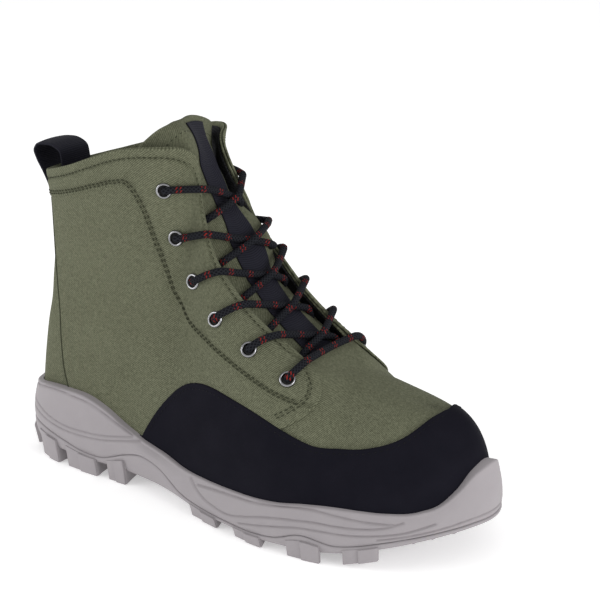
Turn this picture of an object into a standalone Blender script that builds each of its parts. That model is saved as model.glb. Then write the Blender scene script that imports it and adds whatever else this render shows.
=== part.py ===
"""A right-foot lace-up wading boot, standing empty on its sole.

+X runs from the heel to the toe, +Y to the medial side and +Z up. The origin is
on the floor under the heel. Every curved piece of the upper comes from one
surface: a row of sections, each running from the edge of the sole up to the
collar, to the edge of the facing or to the ridge of the vamp.
"""
import math

import bmesh
import bpy
import numpy as np
from mathutils import Matrix, Vector
from mathutils.bvhtree import BVHTree

OBJECT_NAME = "wading_boot"

# Driving dimensions, in metres
SOLE_LENGTH = 0.312
BALL_WIDTH = 0.1233
SHAFT_HEIGHT = 0.200
SOLE_HEIGHT = 0.054
HEEL_SEAT = 0.040
CUP_INSET = 0.008
GAP = 0.0003

UPPER_WALL = 0.0025
ANKLE_HOLLOW = 0.0075
FACING_FLARE = 0.007
MEDIAL_DROP = 0.004
MEDIAL_NARROW = 0.10
TAB_SWEEP = 0.07
TAB_ROOT = 0.60
TAB_LOW = 0.56
SEAM_GAP = 0.004
FACING_GAP = 0.0006
FACING_THICKNESS = 0.0012
RAND_THICKNESS = 0.0013
RAND_FOOT = 0.0008

BED_THICKNESS = 0.0045
BED_LEAST = 0.0025
PLATE_THICKNESS = 0.0028
CORE_STEP = 0.004
CORE_EDGE = 0.007
PLATE_EDGE = 0.0022
CUP_LIP = 0.0016
RIB_DEPTH = 0.0009
SOLE_TAPER = 0.0030
INSOLE_THICKNESS = 0.004
INSOLE_CLEARANCE = 0.0007

TONGUE_THICKNESS = 0.0022
TONGUE_CLEARANCE = 0.0028
TONGUE_TUCK = 0.90
STRIP_WIDTH = 0.020
STRIP_THICKNESS = 0.0008

EYELET_RADIUS = 0.0047
EYELET_HOLE = 0.0027
EYELET_HEIGHT = 0.0010
EYELET_GAP = 0.0006
EYELET_SIDES = 10
LACE_RADIUS = 0.0024
LACE_CLEARANCE = 0.0016
LACE_INSET = 0.0095
LACE_LIFT = GAP + STRIP_THICKNESS + LACE_CLEARANCE + LACE_RADIUS
CROSS_RISE = 1.2
BAR_LIFT = 0.0045
BAR_STATION = 0.715
EDGE_SHARE = 1.0

LOOP_WIDTH = 0.025
LOOP_THICKNESS = 0.0016
LOOP_HEIGHT = 0.016

LATERAL = -1
MEDIAL = 1

# The sole seen from above. Station as a share of the length, half widths as
# shares of the ball width, inset of the upper as a share of the cup inset.
OUTLINE = (
    # station, lateral, medial, inset
    (0.000, 0.000, 0.000, 0.56),
    (0.013, 0.128, 0.126, 0.60),
    (0.038, 0.262, 0.230, 0.70),
    (0.064, 0.333, 0.290, 0.82),
    (0.103, 0.382, 0.333, 0.94),
    (0.160, 0.408, 0.357, 1.02),
    (0.240, 0.412, 0.343, 1.02),
    (0.321, 0.405, 0.303, 0.94),
    (0.385, 0.418, 0.282, 0.90),
    (0.449, 0.450, 0.298, 0.88),
    (0.513, 0.484, 0.333, 0.86),
    (0.577, 0.513, 0.389, 0.86),
    (0.651, 0.535, 0.438, 0.86),
    (0.728, 0.527, 0.460, 0.86),
    (0.785, 0.499, 0.450, 0.86),
    (0.840, 0.454, 0.412, 0.88),
    (0.897, 0.377, 0.349, 0.92),
    (0.942, 0.276, 0.268, 0.98),
    (0.974, 0.170, 0.174, 1.02),
    (1.000, 0.000, 0.000, 1.04),
)

# The sole seen from the side, heights as shares of the sole height: the bed
# that the foot lies on, the rim of the cup, the joint line between outsole and
# midsole, the underside between the lugs and the level the lugs reach down to.
PROFILE = (
    # station, bed, rim, joint, under, tread
    (0.000, 0.519, 0.700, 0.389, 0.222, 0.074),
    (0.038, 0.509, 0.770, 0.389, 0.194, 0.028),
    (0.077, 0.500, 0.830, 0.380, 0.172, 0.000),
    (0.160, 0.481, 0.885, 0.310, 0.165, 0.000),
    (0.212, 0.472, 0.875, 0.250, 0.165, 0.000),
    (0.256, 0.454, 0.800, 0.250, 0.165, 0.000),
    (0.311, 0.420, 0.640, 0.360, 0.160, 0.000),
    (0.346, 0.389, 0.565, 0.410, 0.150, 0.000),
    (0.401, 0.350, 0.500, 0.360, 0.140, 0.000),
    (0.458, 0.315, 0.445, 0.200, 0.115, 0.000),
    (0.513, 0.295, 0.445, 0.150, 0.092, 0.000),
    (0.577, 0.287, 0.460, 0.140, 0.085, 0.000),
    (0.641, 0.282, 0.485, 0.140, 0.080, 0.000),
    (0.689, 0.282, 0.515, 0.175, 0.085, 0.000),
    (0.734, 0.284, 0.560, 0.265, 0.095, 0.000),
    (0.801, 0.310, 0.590, 0.225, 0.130, 0.010),
    (0.840, 0.345, 0.590, 0.260, 0.180, 0.065),
    (0.881, 0.385, 0.585, 0.320, 0.240, 0.130),
    (0.929, 0.430, 0.600, 0.380, 0.310, 0.210),
    (0.955, 0.450, 0.660, 0.410, 0.345, 0.260),
    (0.974, 0.480, 0.790, 0.430, 0.370, 0.295),
    (0.988, 0.495, 0.925, 0.450, 0.390, 0.330),
    (1.000, 0.505, 1.000, 0.460, 0.405, 0.355),
)

# The upper, a row for each section from the heel's back round to the toe. Its
# foot and its top end as shares of the length, the ball width and the shaft
# height, how full its curve is on the lateral and medial sides (1 straight,
# 2 round), how much of the ankle's hollow it has, and where along it, as shares
# of its length, the rand's top edge and the facing's lower edge cross it.
SECTIONS = (
    # foot, top_x, top_y, top_z, lateral, medial, hollow, rand, band
    (0.000, 0.054, 0.000, 0.845, 1.25, 1.25, 0.65, 0.300, 0.905),
    (0.013, 0.062, 0.112, 0.849, 1.25, 1.25, 0.68, 0.300, 0.905),
    (0.038, 0.080, 0.200, 0.858, 1.22, 1.22, 0.74, 0.300, 0.900),
    (0.083, 0.118, 0.268, 0.878, 1.15, 1.15, 0.84, 0.300, 0.895),
    (0.144, 0.174, 0.319, 0.908, 1.07, 1.07, 0.92, 0.290, 0.893),
    (0.218, 0.240, 0.339, 0.950, 1.02, 1.02, 0.92, 0.270, 0.888),
    (0.288, 0.308, 0.333, 0.988, 1.00, 1.00, 0.80, 0.200, 0.880),
    (0.343, 0.357, 0.282, 1.000, 1.02, 1.02, 0.60, 0.110, 0.660),
    (0.375, 0.379, 0.216, 0.997, 1.05, 1.03, 0.50, 0.185, 0.520),
    (0.397, 0.393, 0.170, 0.975, 1.08, 1.04, 0.42, 0.235, 0.495),
    (0.426, 0.406, 0.155, 0.915, 1.14, 1.07, 0.34, 0.300, 0.505),
    (0.468, 0.423, 0.166, 0.835, 1.26, 1.14, 0.24, 0.365, 0.540),
    (0.522, 0.462, 0.207, 0.715, 1.42, 1.22, 0.14, 0.450, 0.603),
    (0.577, 0.513, 0.215, 0.622, 1.55, 1.28, 0.06, 0.490, 0.644),
    (0.635, 0.572, 0.203, 0.542, 1.68, 1.36, 0.00, 0.515, 0.655),
    (0.692, 0.638, 0.170, 0.480, 1.80, 1.50, 0.00, 0.500, 0.610),
    (0.734, 0.679, 0.130, 0.448, 1.90, 1.65, 0.00, 0.485, 0.560),
    (0.763, 0.702, 0.080, 0.432, 1.95, 1.78, 0.00, 0.475, 0.600),
    (0.782, 0.714, 0.000, 0.425, 2.00, 1.88, 0.00, 0.460, 0.650),
    (0.808, 0.744, 0.000, 0.416, 2.05, 1.98, 0.00, 0.460, 0.700),
    (0.853, 0.785, 0.000, 0.404, 2.15, 2.10, 0.00, 0.490, 0.720),
    (0.904, 0.824, 0.000, 0.394, 2.25, 2.22, 0.00, 0.590, 0.780),
    (0.949, 0.849, 0.000, 0.388, 2.40, 2.36, 0.00, 0.760, 0.880),
    (0.978, 0.862, 0.000, 0.385, 2.55, 2.50, 0.00, 0.830, 0.920),
    (1.000, 0.867, 0.000, 0.384, 2.60, 2.60, 0.00, 0.850, 0.925),
)
SEAM_STATION = 0.782
RAND_START = 0.343
FACING_END = 0.734
HOLLOW_LIFT = 1.8
CORNER_STATION = 0.375
CORNER_SPREAD = 0.055
COLUMN_ANGLE = 0.13


def column(table, index):
    """One column of a table, as an array."""
    return np.array([row[index] for row in table], dtype=float)


def smooth(stations, values, where):
    """A smooth curve through the rows of a table."""
    where = np.asarray(where, dtype=float)
    steps = np.diff(stations)
    slopes = np.diff(values) / steps
    tangents = np.empty_like(values)
    tangents[0], tangents[-1] = slopes[0], slopes[-1]
    tangents[1:-1] = (slopes[:-1] * steps[1:] + slopes[1:] * steps[:-1]) / (steps[:-1] + steps[1:])
    cell = np.clip(np.searchsorted(stations, where) - 1, 0, len(steps) - 1)
    step = steps[cell]
    t = (where - stations[cell]) / step
    return (
        values[cell] * (1 + 2 * t) * (1 - t) ** 2
        + step * tangents[cell] * t * (1 - t) ** 2
        + values[cell + 1] * t**2 * (3 - 2 * t)
        + step * tangents[cell + 1] * t**2 * (t - 1)
    )


def turn(station):
    """The angle round the outline, 0 at the heel's back and pi at the toe."""
    return np.arccos(1 - 2 * np.clip(station, 0, 1))


OUTLINE_TURN = turn(column(OUTLINE, 0))


def station_at(x):
    return float(np.clip((x + HEEL_SEAT) / SOLE_LENGTH, 0.0, 1.0))


def half_width(angle, side):
    """Half width of the sole on one side, at an angle round its outline."""
    return BALL_WIDTH * smooth(OUTLINE_TURN, column(OUTLINE, 1 if side == LATERAL else 2), angle)


def profile(station, index):
    """A height of the sole at a station."""
    return SOLE_HEIGHT * smooth(column(PROFILE, 0), column(PROFILE, index), station)


def bed_height(station):
    return profile(station, 1)


def rim_height(station):
    return profile(station, 2)


def joint_height(station):
    return profile(station, 3)


def under_height(station):
    return profile(station, 4)


def tread_height(station):
    return np.maximum(profile(station, 5), 0.0)


def seam_height(station):
    """The level at which the midsole's core lies on the outsole's plate."""
    bed, under = float(bed_height(station)), float(under_height(station))
    return min(bed - BED_LEAST, max(bed - BED_THICKNESS, under + PLATE_THICKNESS))


def section_value(station, index):
    return smooth(column(SECTIONS, 0), column(SECTIONS, index), station)


def outline_point(station, side, inset):
    """A point on the sole's outline, moved in along the outline's normal, and that normal."""
    angle = float(turn(station))
    step = 0.01
    low, high = max(angle - step, 0.0), min(angle + step, math.pi)
    run = SOLE_LENGTH / 2 * math.sin(angle)
    rise = float(half_width(high, side) - half_width(low, side)) / (high - low)
    length = math.hypot(run, rise)
    inward = np.array([rise / length, -side * run / length])
    point = np.array([station * SOLE_LENGTH - HEEL_SEAT, side * float(half_width(angle, side))])
    return point + inset * inward, inward


def cup_inset(station):
    return CUP_INSET * float(smooth(OUTLINE_TURN, column(OUTLINE, 3), turn(station)))


def section_curve(station, side):
    """Points along one section of the upper, from the bed to its top end."""
    foot, inward = outline_point(station, side, cup_inset(station))
    low = float(bed_height(station_at(foot[0]))) + GAP
    corner = math.exp(-(((station - CORNER_STATION) / CORNER_SPREAD) ** 2))
    flare = -side * FACING_FLARE * corner
    top_x = float(section_value(station, 1)) * SOLE_LENGTH - HEEL_SEAT + flare
    top_y = side * max(float(section_value(station, 2)), 0.0) * BALL_WIDTH
    if station >= SEAM_STATION:
        top_y = 0.0
    top_z = float(section_value(station, 3)) * SHAFT_HEIGHT
    if side == MEDIAL:
        top_z -= MEDIAL_DROP * corner
        top_y *= 1 - MEDIAL_NARROW * float(np.clip((station - 0.36) / 0.06, 0, 1))
    power = 2 / float(section_value(station, 4 if side == LATERAL else 5))
    phi = np.linspace(0, math.pi / 2, 49)
    across = 1 - np.clip(np.cos(phi), 0, 1) ** power
    up = np.sin(phi) ** power
    pull = float(section_value(station, 6)) * ANKLE_HOLLOW * np.sin(math.pi * up**HOLLOW_LIFT)
    x = foot[0] + (top_x - foot[0]) * across + pull * inward[0]
    y = foot[1] + (top_y - foot[1]) * across + pull * inward[1]
    z = low + (top_z - low) * up
    return np.column_stack([x, y, z])


def along(curve, shares):
    """Points at the given shares of a curve's length."""
    lengths = np.concatenate([[0.0], np.cumsum(np.linalg.norm(np.diff(curve, axis=0), axis=1))])
    at = np.asarray(shares, dtype=float) * lengths[-1]
    return np.column_stack([np.interp(at, lengths, curve[:, axis]) for axis in range(3)])


def upper_points(station, side, shares, offset=0.0):
    """Points on the upper's outer face at a section, moved out along its normal."""
    shares = np.asarray(shares, dtype=float)
    points = along(section_curve(station, side), shares)
    if offset == 0.0:
        return points
    step = 0.004
    low, high = max(station - step, 0.0), min(station + step, 1.0)
    round_way = along(section_curve(high, side), shares) - along(section_curve(low, side), shares)
    up_way = along(section_curve(station, side), np.minimum(shares + step, 1.0)) - along(
        section_curve(station, side), np.maximum(shares - step, 0.0))
    normals = side * np.cross(up_way, round_way)
    if station in (0.0, 1.0):
        normals[:, 1] = 0.0
    if station >= SEAM_STATION:
        normals[shares > 0.999, 1] = 0.0
    return points + offset * normals / np.linalg.norm(normals, axis=1, keepdims=True)


def share_at_height(station, side, height):
    """How far along a section a height lies, as a share of the section's length."""
    curve = section_curve(station, side)
    lengths = np.concatenate([[0.0], np.cumsum(np.linalg.norm(np.diff(curve, axis=0), axis=1))])
    return float(np.interp(height, curve[:, 2], lengths / lengths[-1]))


def spread(stations, between):
    """The rows' stations, with more put between those that lie far apart round the outline."""
    result = []
    for low, high in zip(stations, stations[1:]):
        start, end = float(turn(low)), float(turn(high))
        pieces = max(1, round((end - start) / between))
        angles = np.linspace(start, end, pieces + 1)[:-1]
        result += [low] + [float(1 - math.cos(angle)) / 2 for angle in angles[1:]]
    return result + [stations[-1]]


STATIONS = spread([row[0] for row in SECTIONS], COLUMN_ANGLE)


def upper_rows(station, side):
    """Shares of a section at which the upper's rows of points lie."""
    rim = share_at_height(station, side, float(rim_height(station)))
    foot = share_at_height(station, side, float(rim_height(station)) + RAND_FOOT)
    rand = max(float(section_value(station, 7)), foot + 0.012)
    band = float(section_value(station, 8))
    return (
        [0.0, rim]
        + list(np.linspace(foot, rand, 4))
        + list(np.linspace(rand, band, 4))[1:]
        + list(np.linspace(band, 1.0, 4))[1:]
    )


RIM_ROW, RAND_ROW, RAND_TOP_ROW, BAND_ROW = 1, 2, 5, 8


def new_object(name, mesh, collection, material):
    """Puts a mesh in the scene as a named object with its own material."""
    body = bpy.data.objects.new(name, mesh)
    collection.objects.link(body)
    if material is not None:
        body.data.materials.append(material)
    return body


def mesh_from(name, points, faces, merge=1e-6):
    """A closed mesh from points and faces: coincident points joined, faces turned alike and split."""
    shape = bmesh.new()
    verts = [shape.verts.new(Vector(p)) for p in points]
    for face in faces:
        shape.faces.new([verts[i] for i in face])
    bmesh.ops.remove_doubles(shape, verts=shape.verts, dist=merge)
    bmesh.ops.dissolve_degenerate(shape, dist=merge, edges=shape.edges)
    bmesh.ops.triangulate(shape, faces=shape.faces, quad_method="FIXED")
    bmesh.ops.recalc_face_normals(shape, faces=shape.faces)
    mesh = bpy.data.meshes.new(name)
    shape.to_mesh(mesh)
    shape.free()
    return mesh


def grid_faces(rows, across, start=0):
    """Quads of a grid whose points are numbered row by row."""
    faces = []
    for i in range(rows - 1):
        for j in range(across - 1):
            a = start + i * across + j
            faces.append((a, a + 1, a + across + 1, a + across))
    return faces


def sheet(name, grids, collection, material, thickness, outward):
    """A wall made of one or more grids of points, given a thickness to one side."""
    points, faces = [], []
    for grid, flip in grids:
        rows, across = grid.shape[:2]
        quads = grid_faces(rows, across, len(points))
        faces += [tuple(reversed(q)) for q in quads] if flip else quads
        points += list(grid.reshape(-1, 3))
    shape = bmesh.new()
    verts = [shape.verts.new(Vector(p)) for p in points]
    for face in faces:
        shape.faces.new([verts[i] for i in face])
    bmesh.ops.remove_doubles(shape, verts=shape.verts, dist=1e-5)
    mesh = bpy.data.meshes.new(name)
    shape.to_mesh(mesh)
    shape.free()
    body = new_object(name, mesh, collection, material)
    wall = body.modifiers.new("wall", "SOLIDIFY")
    wall.thickness = thickness
    wall.offset = 1.0 if outward else -1.0
    return body


def material(name, colour, roughness, metallic=0.0):
    """A plain material of one colour."""
    made = bpy.data.materials.new(name)
    made.use_nodes = True
    shader = made.node_tree.nodes["Principled BSDF"]
    shader.inputs["Base Color"].default_value = (*colour, 1.0)
    shader.inputs["Roughness"].default_value = roughness
    shader.inputs["Metallic"].default_value = metallic
    return made


def upper_grid(side, offset, first, last, start, end):
    """Points of the upper between two of its rows and two of its stations."""
    rows = []
    for station in STATIONS:
        if start - 1e-6 <= station <= end + 1e-6:
            shares = upper_rows(station, side)[first:last + 1]
            rows.append(upper_points(station, side, shares, offset))
    return np.array(rows)


def make_upper(collection, fabric):
    """The hollow upper, open at the collar, down the throat and underneath."""
    top = len(upper_rows(0.5, LATERAL)) - 1
    grids = [(upper_grid(side, 0.0, 0, top, 0.0, 1.0), side == LATERAL) for side in (LATERAL, MEDIAL)]
    return sheet("upper", grids, collection, fabric, UPPER_WALL, False)


def make_rand(collection, fabric):
    """The wide black rand round the forefoot, from the rim of the cup to its shaped top edge."""
    grids = [(upper_grid(side, GAP, RAND_ROW, RAND_TOP_ROW, RAND_START, 1.0), side == LATERAL)
             for side in (LATERAL, MEDIAL)]
    return sheet("rand", grids, collection, fabric, RAND_THICKNESS, True)


def make_facing(name, side, collection, fabric):
    """The collar band and facing of one side, down to its tab over the vamp."""
    rows = []
    for station in [SEAM_GAP] + [s for s in STATIONS if SEAM_GAP < s <= FACING_END + 1e-6]:
        row = []
        for share in upper_rows(station, side)[BAND_ROW:]:
            sweep = TAB_SWEEP * ((1 - share) / (1 - TAB_LOW)) ** 2
            reach = max(0.0, (station - TAB_ROOT) / (FACING_END - TAB_ROOT))
            row.append(upper_points(station - sweep * reach, side, [share], FACING_GAP)[0])
        rows.append(row)
    return sheet(name, [(np.array(rows), side == LATERAL)], collection, fabric, FACING_THICKNESS, True)


def ring_body(name, sections, collection, material_used):
    """A closed body from like sections on both sides of the middle, joined across it."""
    across = len(sections[LATERAL][0])
    rows = len(sections[LATERAL])
    points, faces = [], []
    for side in (LATERAL, MEDIAL):
        quads = grid_faces(rows, across, len(points))
        faces += quads if side == LATERAL else [tuple(reversed(q)) for q in quads]
        points += [p for section in sections[side] for p in section]
    shift = rows * across
    for i in range(rows - 1):
        for j in (0, across - 1):
            a, b = i * across + j, (i + 1) * across + j
            faces.append((a, b, b + shift, a + shift))
    mesh = mesh_from(name, points, faces, 2e-5)
    return new_object(name, mesh, collection, material_used)


def side_point(station, side, inset, height):
    """A point in from the sole's outline, at a height or on one of the sole's levels."""
    point, _ = outline_point(station, side, inset)
    if callable(height):
        height = float(height(station_at(point[0])))
    return np.array([point[0], point[1], height])


# The midsole's side from its joint with the outsole up to the rim: height as a
# share of the wall, and how far in it lies as shares of the taper and of a rib.
SIDE_STEPS = (
    # height, taper, rib
    (0.00, 0.10, 0.0),
    (0.26, 0.05, 0.0),
    (0.31, 0.08, 1.0),
    (0.50, 0.20, 1.0),
    (0.55, 0.25, 0.1),
    (0.72, 0.50, 0.2),
    (0.77, 0.60, 1.0),
    (0.90, 0.90, 0.8),
    (0.94, 0.95, 0.0),
)


def rib_share(station):
    """How deep the grooves are along the sole: none at the waist and at the toe."""
    heel = np.clip((0.33 - station) / 0.06, 0, 1) * np.clip(station / 0.03, 0, 1)
    fore = np.clip((station - 0.47) / 0.08, 0, 1) * np.clip((0.93 - station) / 0.08, 0, 1)
    return float(max(heel, fore))


def rim_inset(station):
    """How far in from the outline the cup's rim lies, leaving the cup its wall."""
    return min(SOLE_TAPER, cup_inset(station) - GAP - 2 * CUP_LIP)


def midsole_section(station, side):
    """One section of the midsole: under, up its side, over the rim and down to the bed."""
    rim, joint = float(rim_height(station)), float(joint_height(station))
    lip = rim_inset(station)
    cup = cup_inset(station)
    section = [side_point(station, side, cup + CORE_EDGE, seam_height),
               side_point(station, side, 0.55 * (cup + CORE_STEP), min(joint, seam_height(station)))]
    for height, taper, rib in SIDE_STEPS:
        inset = taper * lip + rib * RIB_DEPTH * rib_share(station)
        section.append(side_point(station, side, inset, joint + (rim - joint) * height))
    section.append(side_point(station, side, lip + CUP_LIP * 0.5, rim))
    section += list(upper_points(station, side, upper_rows(station, side)[RIM_ROW::-1], 2 * GAP))
    section[-1][2] = float(bed_height(station_at(section[-1][0])))
    section.append(side_point(station, side, cup + CORE_EDGE, bed_height))
    return section


def make_midsole(collection, rubber):
    sections = {side: [midsole_section(s, side) for s in STATIONS] for side in (LATERAL, MEDIAL)}
    return ring_body("midsole", sections, collection, rubber)


def outsole_section(station, side):
    """One section of the outsole's plate: under, up its side and in along its top."""
    joint, under, seam = (float(f(station)) for f in (joint_height, under_height, seam_height))
    cup, lip = cup_inset(station), rim_inset(station)
    return [
        side_point(station, side, cup + CORE_EDGE, lambda s: seam_height(s) - 2 * GAP),
        side_point(station, side, 0.55 * (cup + CORE_STEP), min(joint, seam) - 2 * GAP),
        side_point(station, side, 0.10 * lip, joint - GAP),
        side_point(station, side, 0.4 * PLATE_EDGE, under + 0.3 * (joint - under)),
        side_point(station, side, PLATE_EDGE, under),
        side_point(station, side, cup + CORE_EDGE, under_height),
    ]


def make_outsole(collection, cutters, rubber):
    """The outsole: its plate with all the lugs joined to it."""
    sections = {side: [outsole_section(s, side) for s in STATIONS] for side in (LATERAL, MEDIAL)}
    body = ring_body("outsole", sections, collection, rubber)
    make_lugs(cutters)
    union = body.modifiers.new("tread", "BOOLEAN")
    union.operation = "UNION"
    union.operand_type = "COLLECTION"
    union.collection = cutters
    return body


def make_insole(collection, foam):
    """A flat insole inside the upper, on the midsole's bed."""
    sections = {}
    for side in (LATERAL, MEDIAL):
        sections[side] = []
        for station in STATIONS:
            base = upper_points(station, side, [0.0], -(UPPER_WALL + INSOLE_CLEARANCE))[0]
            low = float(bed_height(station_at(base[0]))) + 2 * GAP
            sections[side].append([
                np.array([base[0], base[1], low]),
                np.array([base[0], base[1], low + INSOLE_THICKNESS]),
            ])
    return ring_body("insole", sections, collection, foam)


# The lugs along the sole's edge: the stations they start and end at and how far
# they reach in, as shares of the length, and how far they lean towards the heel.
LATERAL_LUGS = (
    # start, end, reach, lean
    (0.087, 0.144, 0.062, 0.000),
    (0.167, 0.244, 0.070, 0.004),
    (0.269, 0.311, 0.062, 0.008),
    (0.484, 0.554, 0.060, 0.020),
    (0.596, 0.660, 0.072, 0.024),
    (0.712, 0.776, 0.076, 0.024),
    (0.814, 0.872, 0.066, 0.020),
)
MEDIAL_LUGS = (
    # start, end, reach, lean
    (0.087, 0.144, 0.062, 0.000),
    (0.167, 0.244, 0.070, 0.004),
    (0.269, 0.311, 0.062, 0.008),
    (0.458, 0.513, 0.050, 0.016),
    (0.571, 0.635, 0.062, 0.020),
    (0.673, 0.760, 0.070, 0.020),
    (0.785, 0.843, 0.062, 0.016),
)

# The pods down the middle of the tread: their two ends, lengthways as shares of
# the length and crossways as shares of the ball width, and how far they bow.
PODS = (
    # start, start_side, end, end_side, bow
    (0.779, 0.195, 0.872, -0.135, 0.015),
    (0.654, 0.225, 0.801, -0.190, 0.00),
    (0.529, 0.150, 0.708, -0.250, 0.00),
    (0.446, 0.035, 0.596, -0.262, 0.00),
    (0.100, 0.105, 0.100, -0.105, -0.045),
    (0.170, 0.110, 0.170, -0.110, 0.030),
    (0.275, 0.085, 0.275, -0.085, 0.045),
    (0.112, 0.000, 0.158, 0.000, 0.000),
)
POD_WIDTH = 0.0085
TOE_RIDGES = (0.902, 0.927, 0.952)
RIDGE_WIDTH = 0.0034
RIDGE_INSET = 0.006
LUG_ROOT = 0.0016
LUG_TAPER = 0.0008
LUG_PINCH = 0.14
LUG_RISE = 0.5


def block(name, rings, collection):
    """A closed block lofted through rings of points."""
    count = len(rings[0])
    points = [point for ring in rings for point in ring]
    faces = [tuple(reversed(range(count))), tuple(range(len(points) - count, len(points)))]
    for ring in range(len(rings) - 1):
        for i in range(count):
            a, b = ring * count + i, ring * count + (i + 1) % count
            faces.append((a, b, b + count, a + count))
    body = new_object(name, mesh_from(name, points, faces), collection, None)
    body.hide_render = True
    body.display_type = "WIRE"
    return body


def edge_lug(name, side, start, end, reach, lean, collection):
    """A lug on the sole's edge, standing out a little from its side and rooted in the plate."""
    pinch = (end - start) * LUG_PINCH
    middle = (start + end) / 2
    depth = reach * SOLE_LENGTH
    low, top = [], []
    for station in (start, middle, end):
        under, joint = float(under_height(station)), float(joint_height(station))
        wall = min(under + LUG_RISE * (joint - under), seam_height(station) - LUG_TAPER)
        low.append(side_point(station, side, 2 * LUG_TAPER, tread_height))
        top.append(side_point(station, side, -LUG_TAPER, wall))
    for station in (end - lean - pinch, middle - lean, start - lean + pinch):
        low.append(side_point(station, side, depth - LUG_TAPER, tread_height))
        top.append(side_point(station, side, depth, lambda s: under_height(s) + LUG_ROOT))
    return block(name, [low, top], collection)


def strip_block(name, middle, width, collection):
    """A long block with round ends along a line of points on the tread."""
    middle = np.array(middle)
    tangents = np.gradient(middle, axis=0)
    tangents /= np.linalg.norm(tangents, axis=1, keepdims=True)
    across = np.column_stack([-tangents[:, 1], tangents[:, 0]])
    cap = 0.35 * width

    def ring(half, height):
        left = middle + half * across
        right = (middle - half * across)[::-1]
        head = middle[-1] + cap * tangents[-1]
        tail = middle[0] - cap * tangents[0]
        outline = list(left)
        outline += [head + 0.5 * half * across[-1], head - 0.5 * half * across[-1]]
        outline += list(right)
        outline += [tail - 0.5 * half * across[0], tail + 0.5 * half * across[0]]
        return [np.array([p[0], p[1], float(height(station_at(p[0])))]) for p in outline]

    half = width / 2
    low = ring(half - LUG_TAPER / 2, tread_height)
    mid = ring(half, lambda s: under_height(s) + 0.5 * LUG_ROOT)
    top = ring(half - LUG_TAPER / 2, lambda s: under_height(s) + LUG_ROOT)
    return block(name, [low, mid, top], collection)


def heel_lug(collection):
    """The lug round the heel's back, rising to its rear edge."""
    def ring(inset, inner_inset, height):
        stations = [0.050, 0.022, 0.005]
        outer = [(s, LATERAL) for s in stations] + [(0.0, MEDIAL)]
        outer += [(s, MEDIAL) for s in reversed(stations)]
        points = [side_point(s, side, inset, float(height(s))) for s, side in outer]
        points += [side_point(s, side, inner_inset, float(height(0.03))) for s, side in reversed(outer)]
        return points

    low = ring(2 * LUG_TAPER, 0.009, tread_height)
    top = ring(-LUG_TAPER, 0.010, lambda s: under_height(s) + LUG_ROOT)
    return block("lug_heel_back", [low, top], collection)


def make_lugs(collection):
    """All the blocks of the tread, to be joined to the outsole."""
    for side, name, table in ((LATERAL, "lateral", LATERAL_LUGS), (MEDIAL, "medial", MEDIAL_LUGS)):
        for index, row in enumerate(table):
            edge_lug(f"lug_{name}_{index + 1}", side, *row, collection)
    for index, (start, start_side, end, end_side, bow) in enumerate(PODS):
        steps = np.linspace(0, 1, 5 if bow else 2)
        x = (start + (end - start) * steps + bow * (1 - (2 * steps - 1) ** 2)) * SOLE_LENGTH - HEEL_SEAT
        y = (start_side + (end_side - start_side) * steps) * BALL_WIDTH
        strip_block(f"pod_{index + 1}", np.column_stack([x, y]), POD_WIDTH, collection)
    for index, station in enumerate(TOE_RIDGES):
        low, high = (side * (float(half_width(turn(station), side)) - RIDGE_INSET) for side in (LATERAL, MEDIAL))
        y = np.linspace(low, high, 2)
        x = np.full(2, station * SOLE_LENGTH - HEEL_SEAT)
        strip_block(f"ridge_{index + 1}", np.column_stack([x, y]), RIDGE_WIDTH, collection)
    heel_lug(collection)


# The tongue, a row from the collar down: the station whose top edge it passes
# under, the station and share of its side edge, and its middle.
TONGUE = (
    # edge, side_station, side_share, middle_x, middle_z
    (0.343, 0.290, 0.960, 0.352, 1.045),
    (0.375, 0.325, 0.930, 0.367, 0.998),
    (0.397, 0.352, 0.880, 0.381, 0.955),
    (0.426, 0.388, 0.850, 0.403, 0.884),
    (0.468, 0.440, 0.820, 0.437, 0.805),
    (0.522, 0.505, 0.800, 0.484, 0.700),
    (0.577, 0.565, 0.800, 0.527, 0.602),
    (0.635, 0.628, 0.800, 0.575, 0.532),
    (0.692, 0.688, 0.800, 0.622, 0.478),
    (0.734, 0.732, 0.800, 0.662, 0.440),
)
TONGUE_ROOTS = (0.795, 0.825)
STRIP_ROWS = 9


def tongue_curve(station):
    """Fine points across the tongue, at a station of the facing's edge."""
    depth = -(UPPER_WALL + TONGUE_CLEARANCE)
    edges = column(TONGUE, 0)
    side_station, side_share, x, z = (float(smooth(edges, column(TONGUE, i), station)) for i in (1, 2, 3, 4))
    ends = {side: (upper_points(side_station, side, [side_share], depth)[0],
                   upper_points(station, side, [1.0], depth)[0]) for side in (LATERAL, MEDIAL)}
    middle = np.array([x * SOLE_LENGTH - HEEL_SEAT, 0.0, z * SHAFT_HEIGHT])
    for side in (LATERAL, MEDIAL):
        ends[side][1][1] *= TONGUE_TUCK
    return smooth_line([ends[LATERAL][0], ends[LATERAL][1], middle, ends[MEDIAL][1], ends[MEDIAL][0]])


def smooth_line(control):
    """Fine points on a smooth curve through a few points."""
    control = np.array(control)
    chords = np.concatenate([[0.0], np.cumsum(np.linalg.norm(np.diff(control, axis=0), axis=1))])
    fine = np.linspace(0, chords[-1], 161)
    return np.column_stack([smooth(chords, control[:, axis], fine) for axis in range(3)])


def tongue_row(curve):
    """Nine points across the tongue, five of them under its strip."""
    half = min(STRIP_WIDTH / 2, 0.5 * abs(curve[-1, 1]))
    low, high = curve[0, 1], curve[-1, 1]
    across = [low, 0.5 * (low - half), -half, -half / 2, 0.0, half / 2, half, 0.5 * (high + half), high]
    return np.column_stack([np.interp(across, curve[:, 1], curve[:, axis]) for axis in range(3)])


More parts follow.
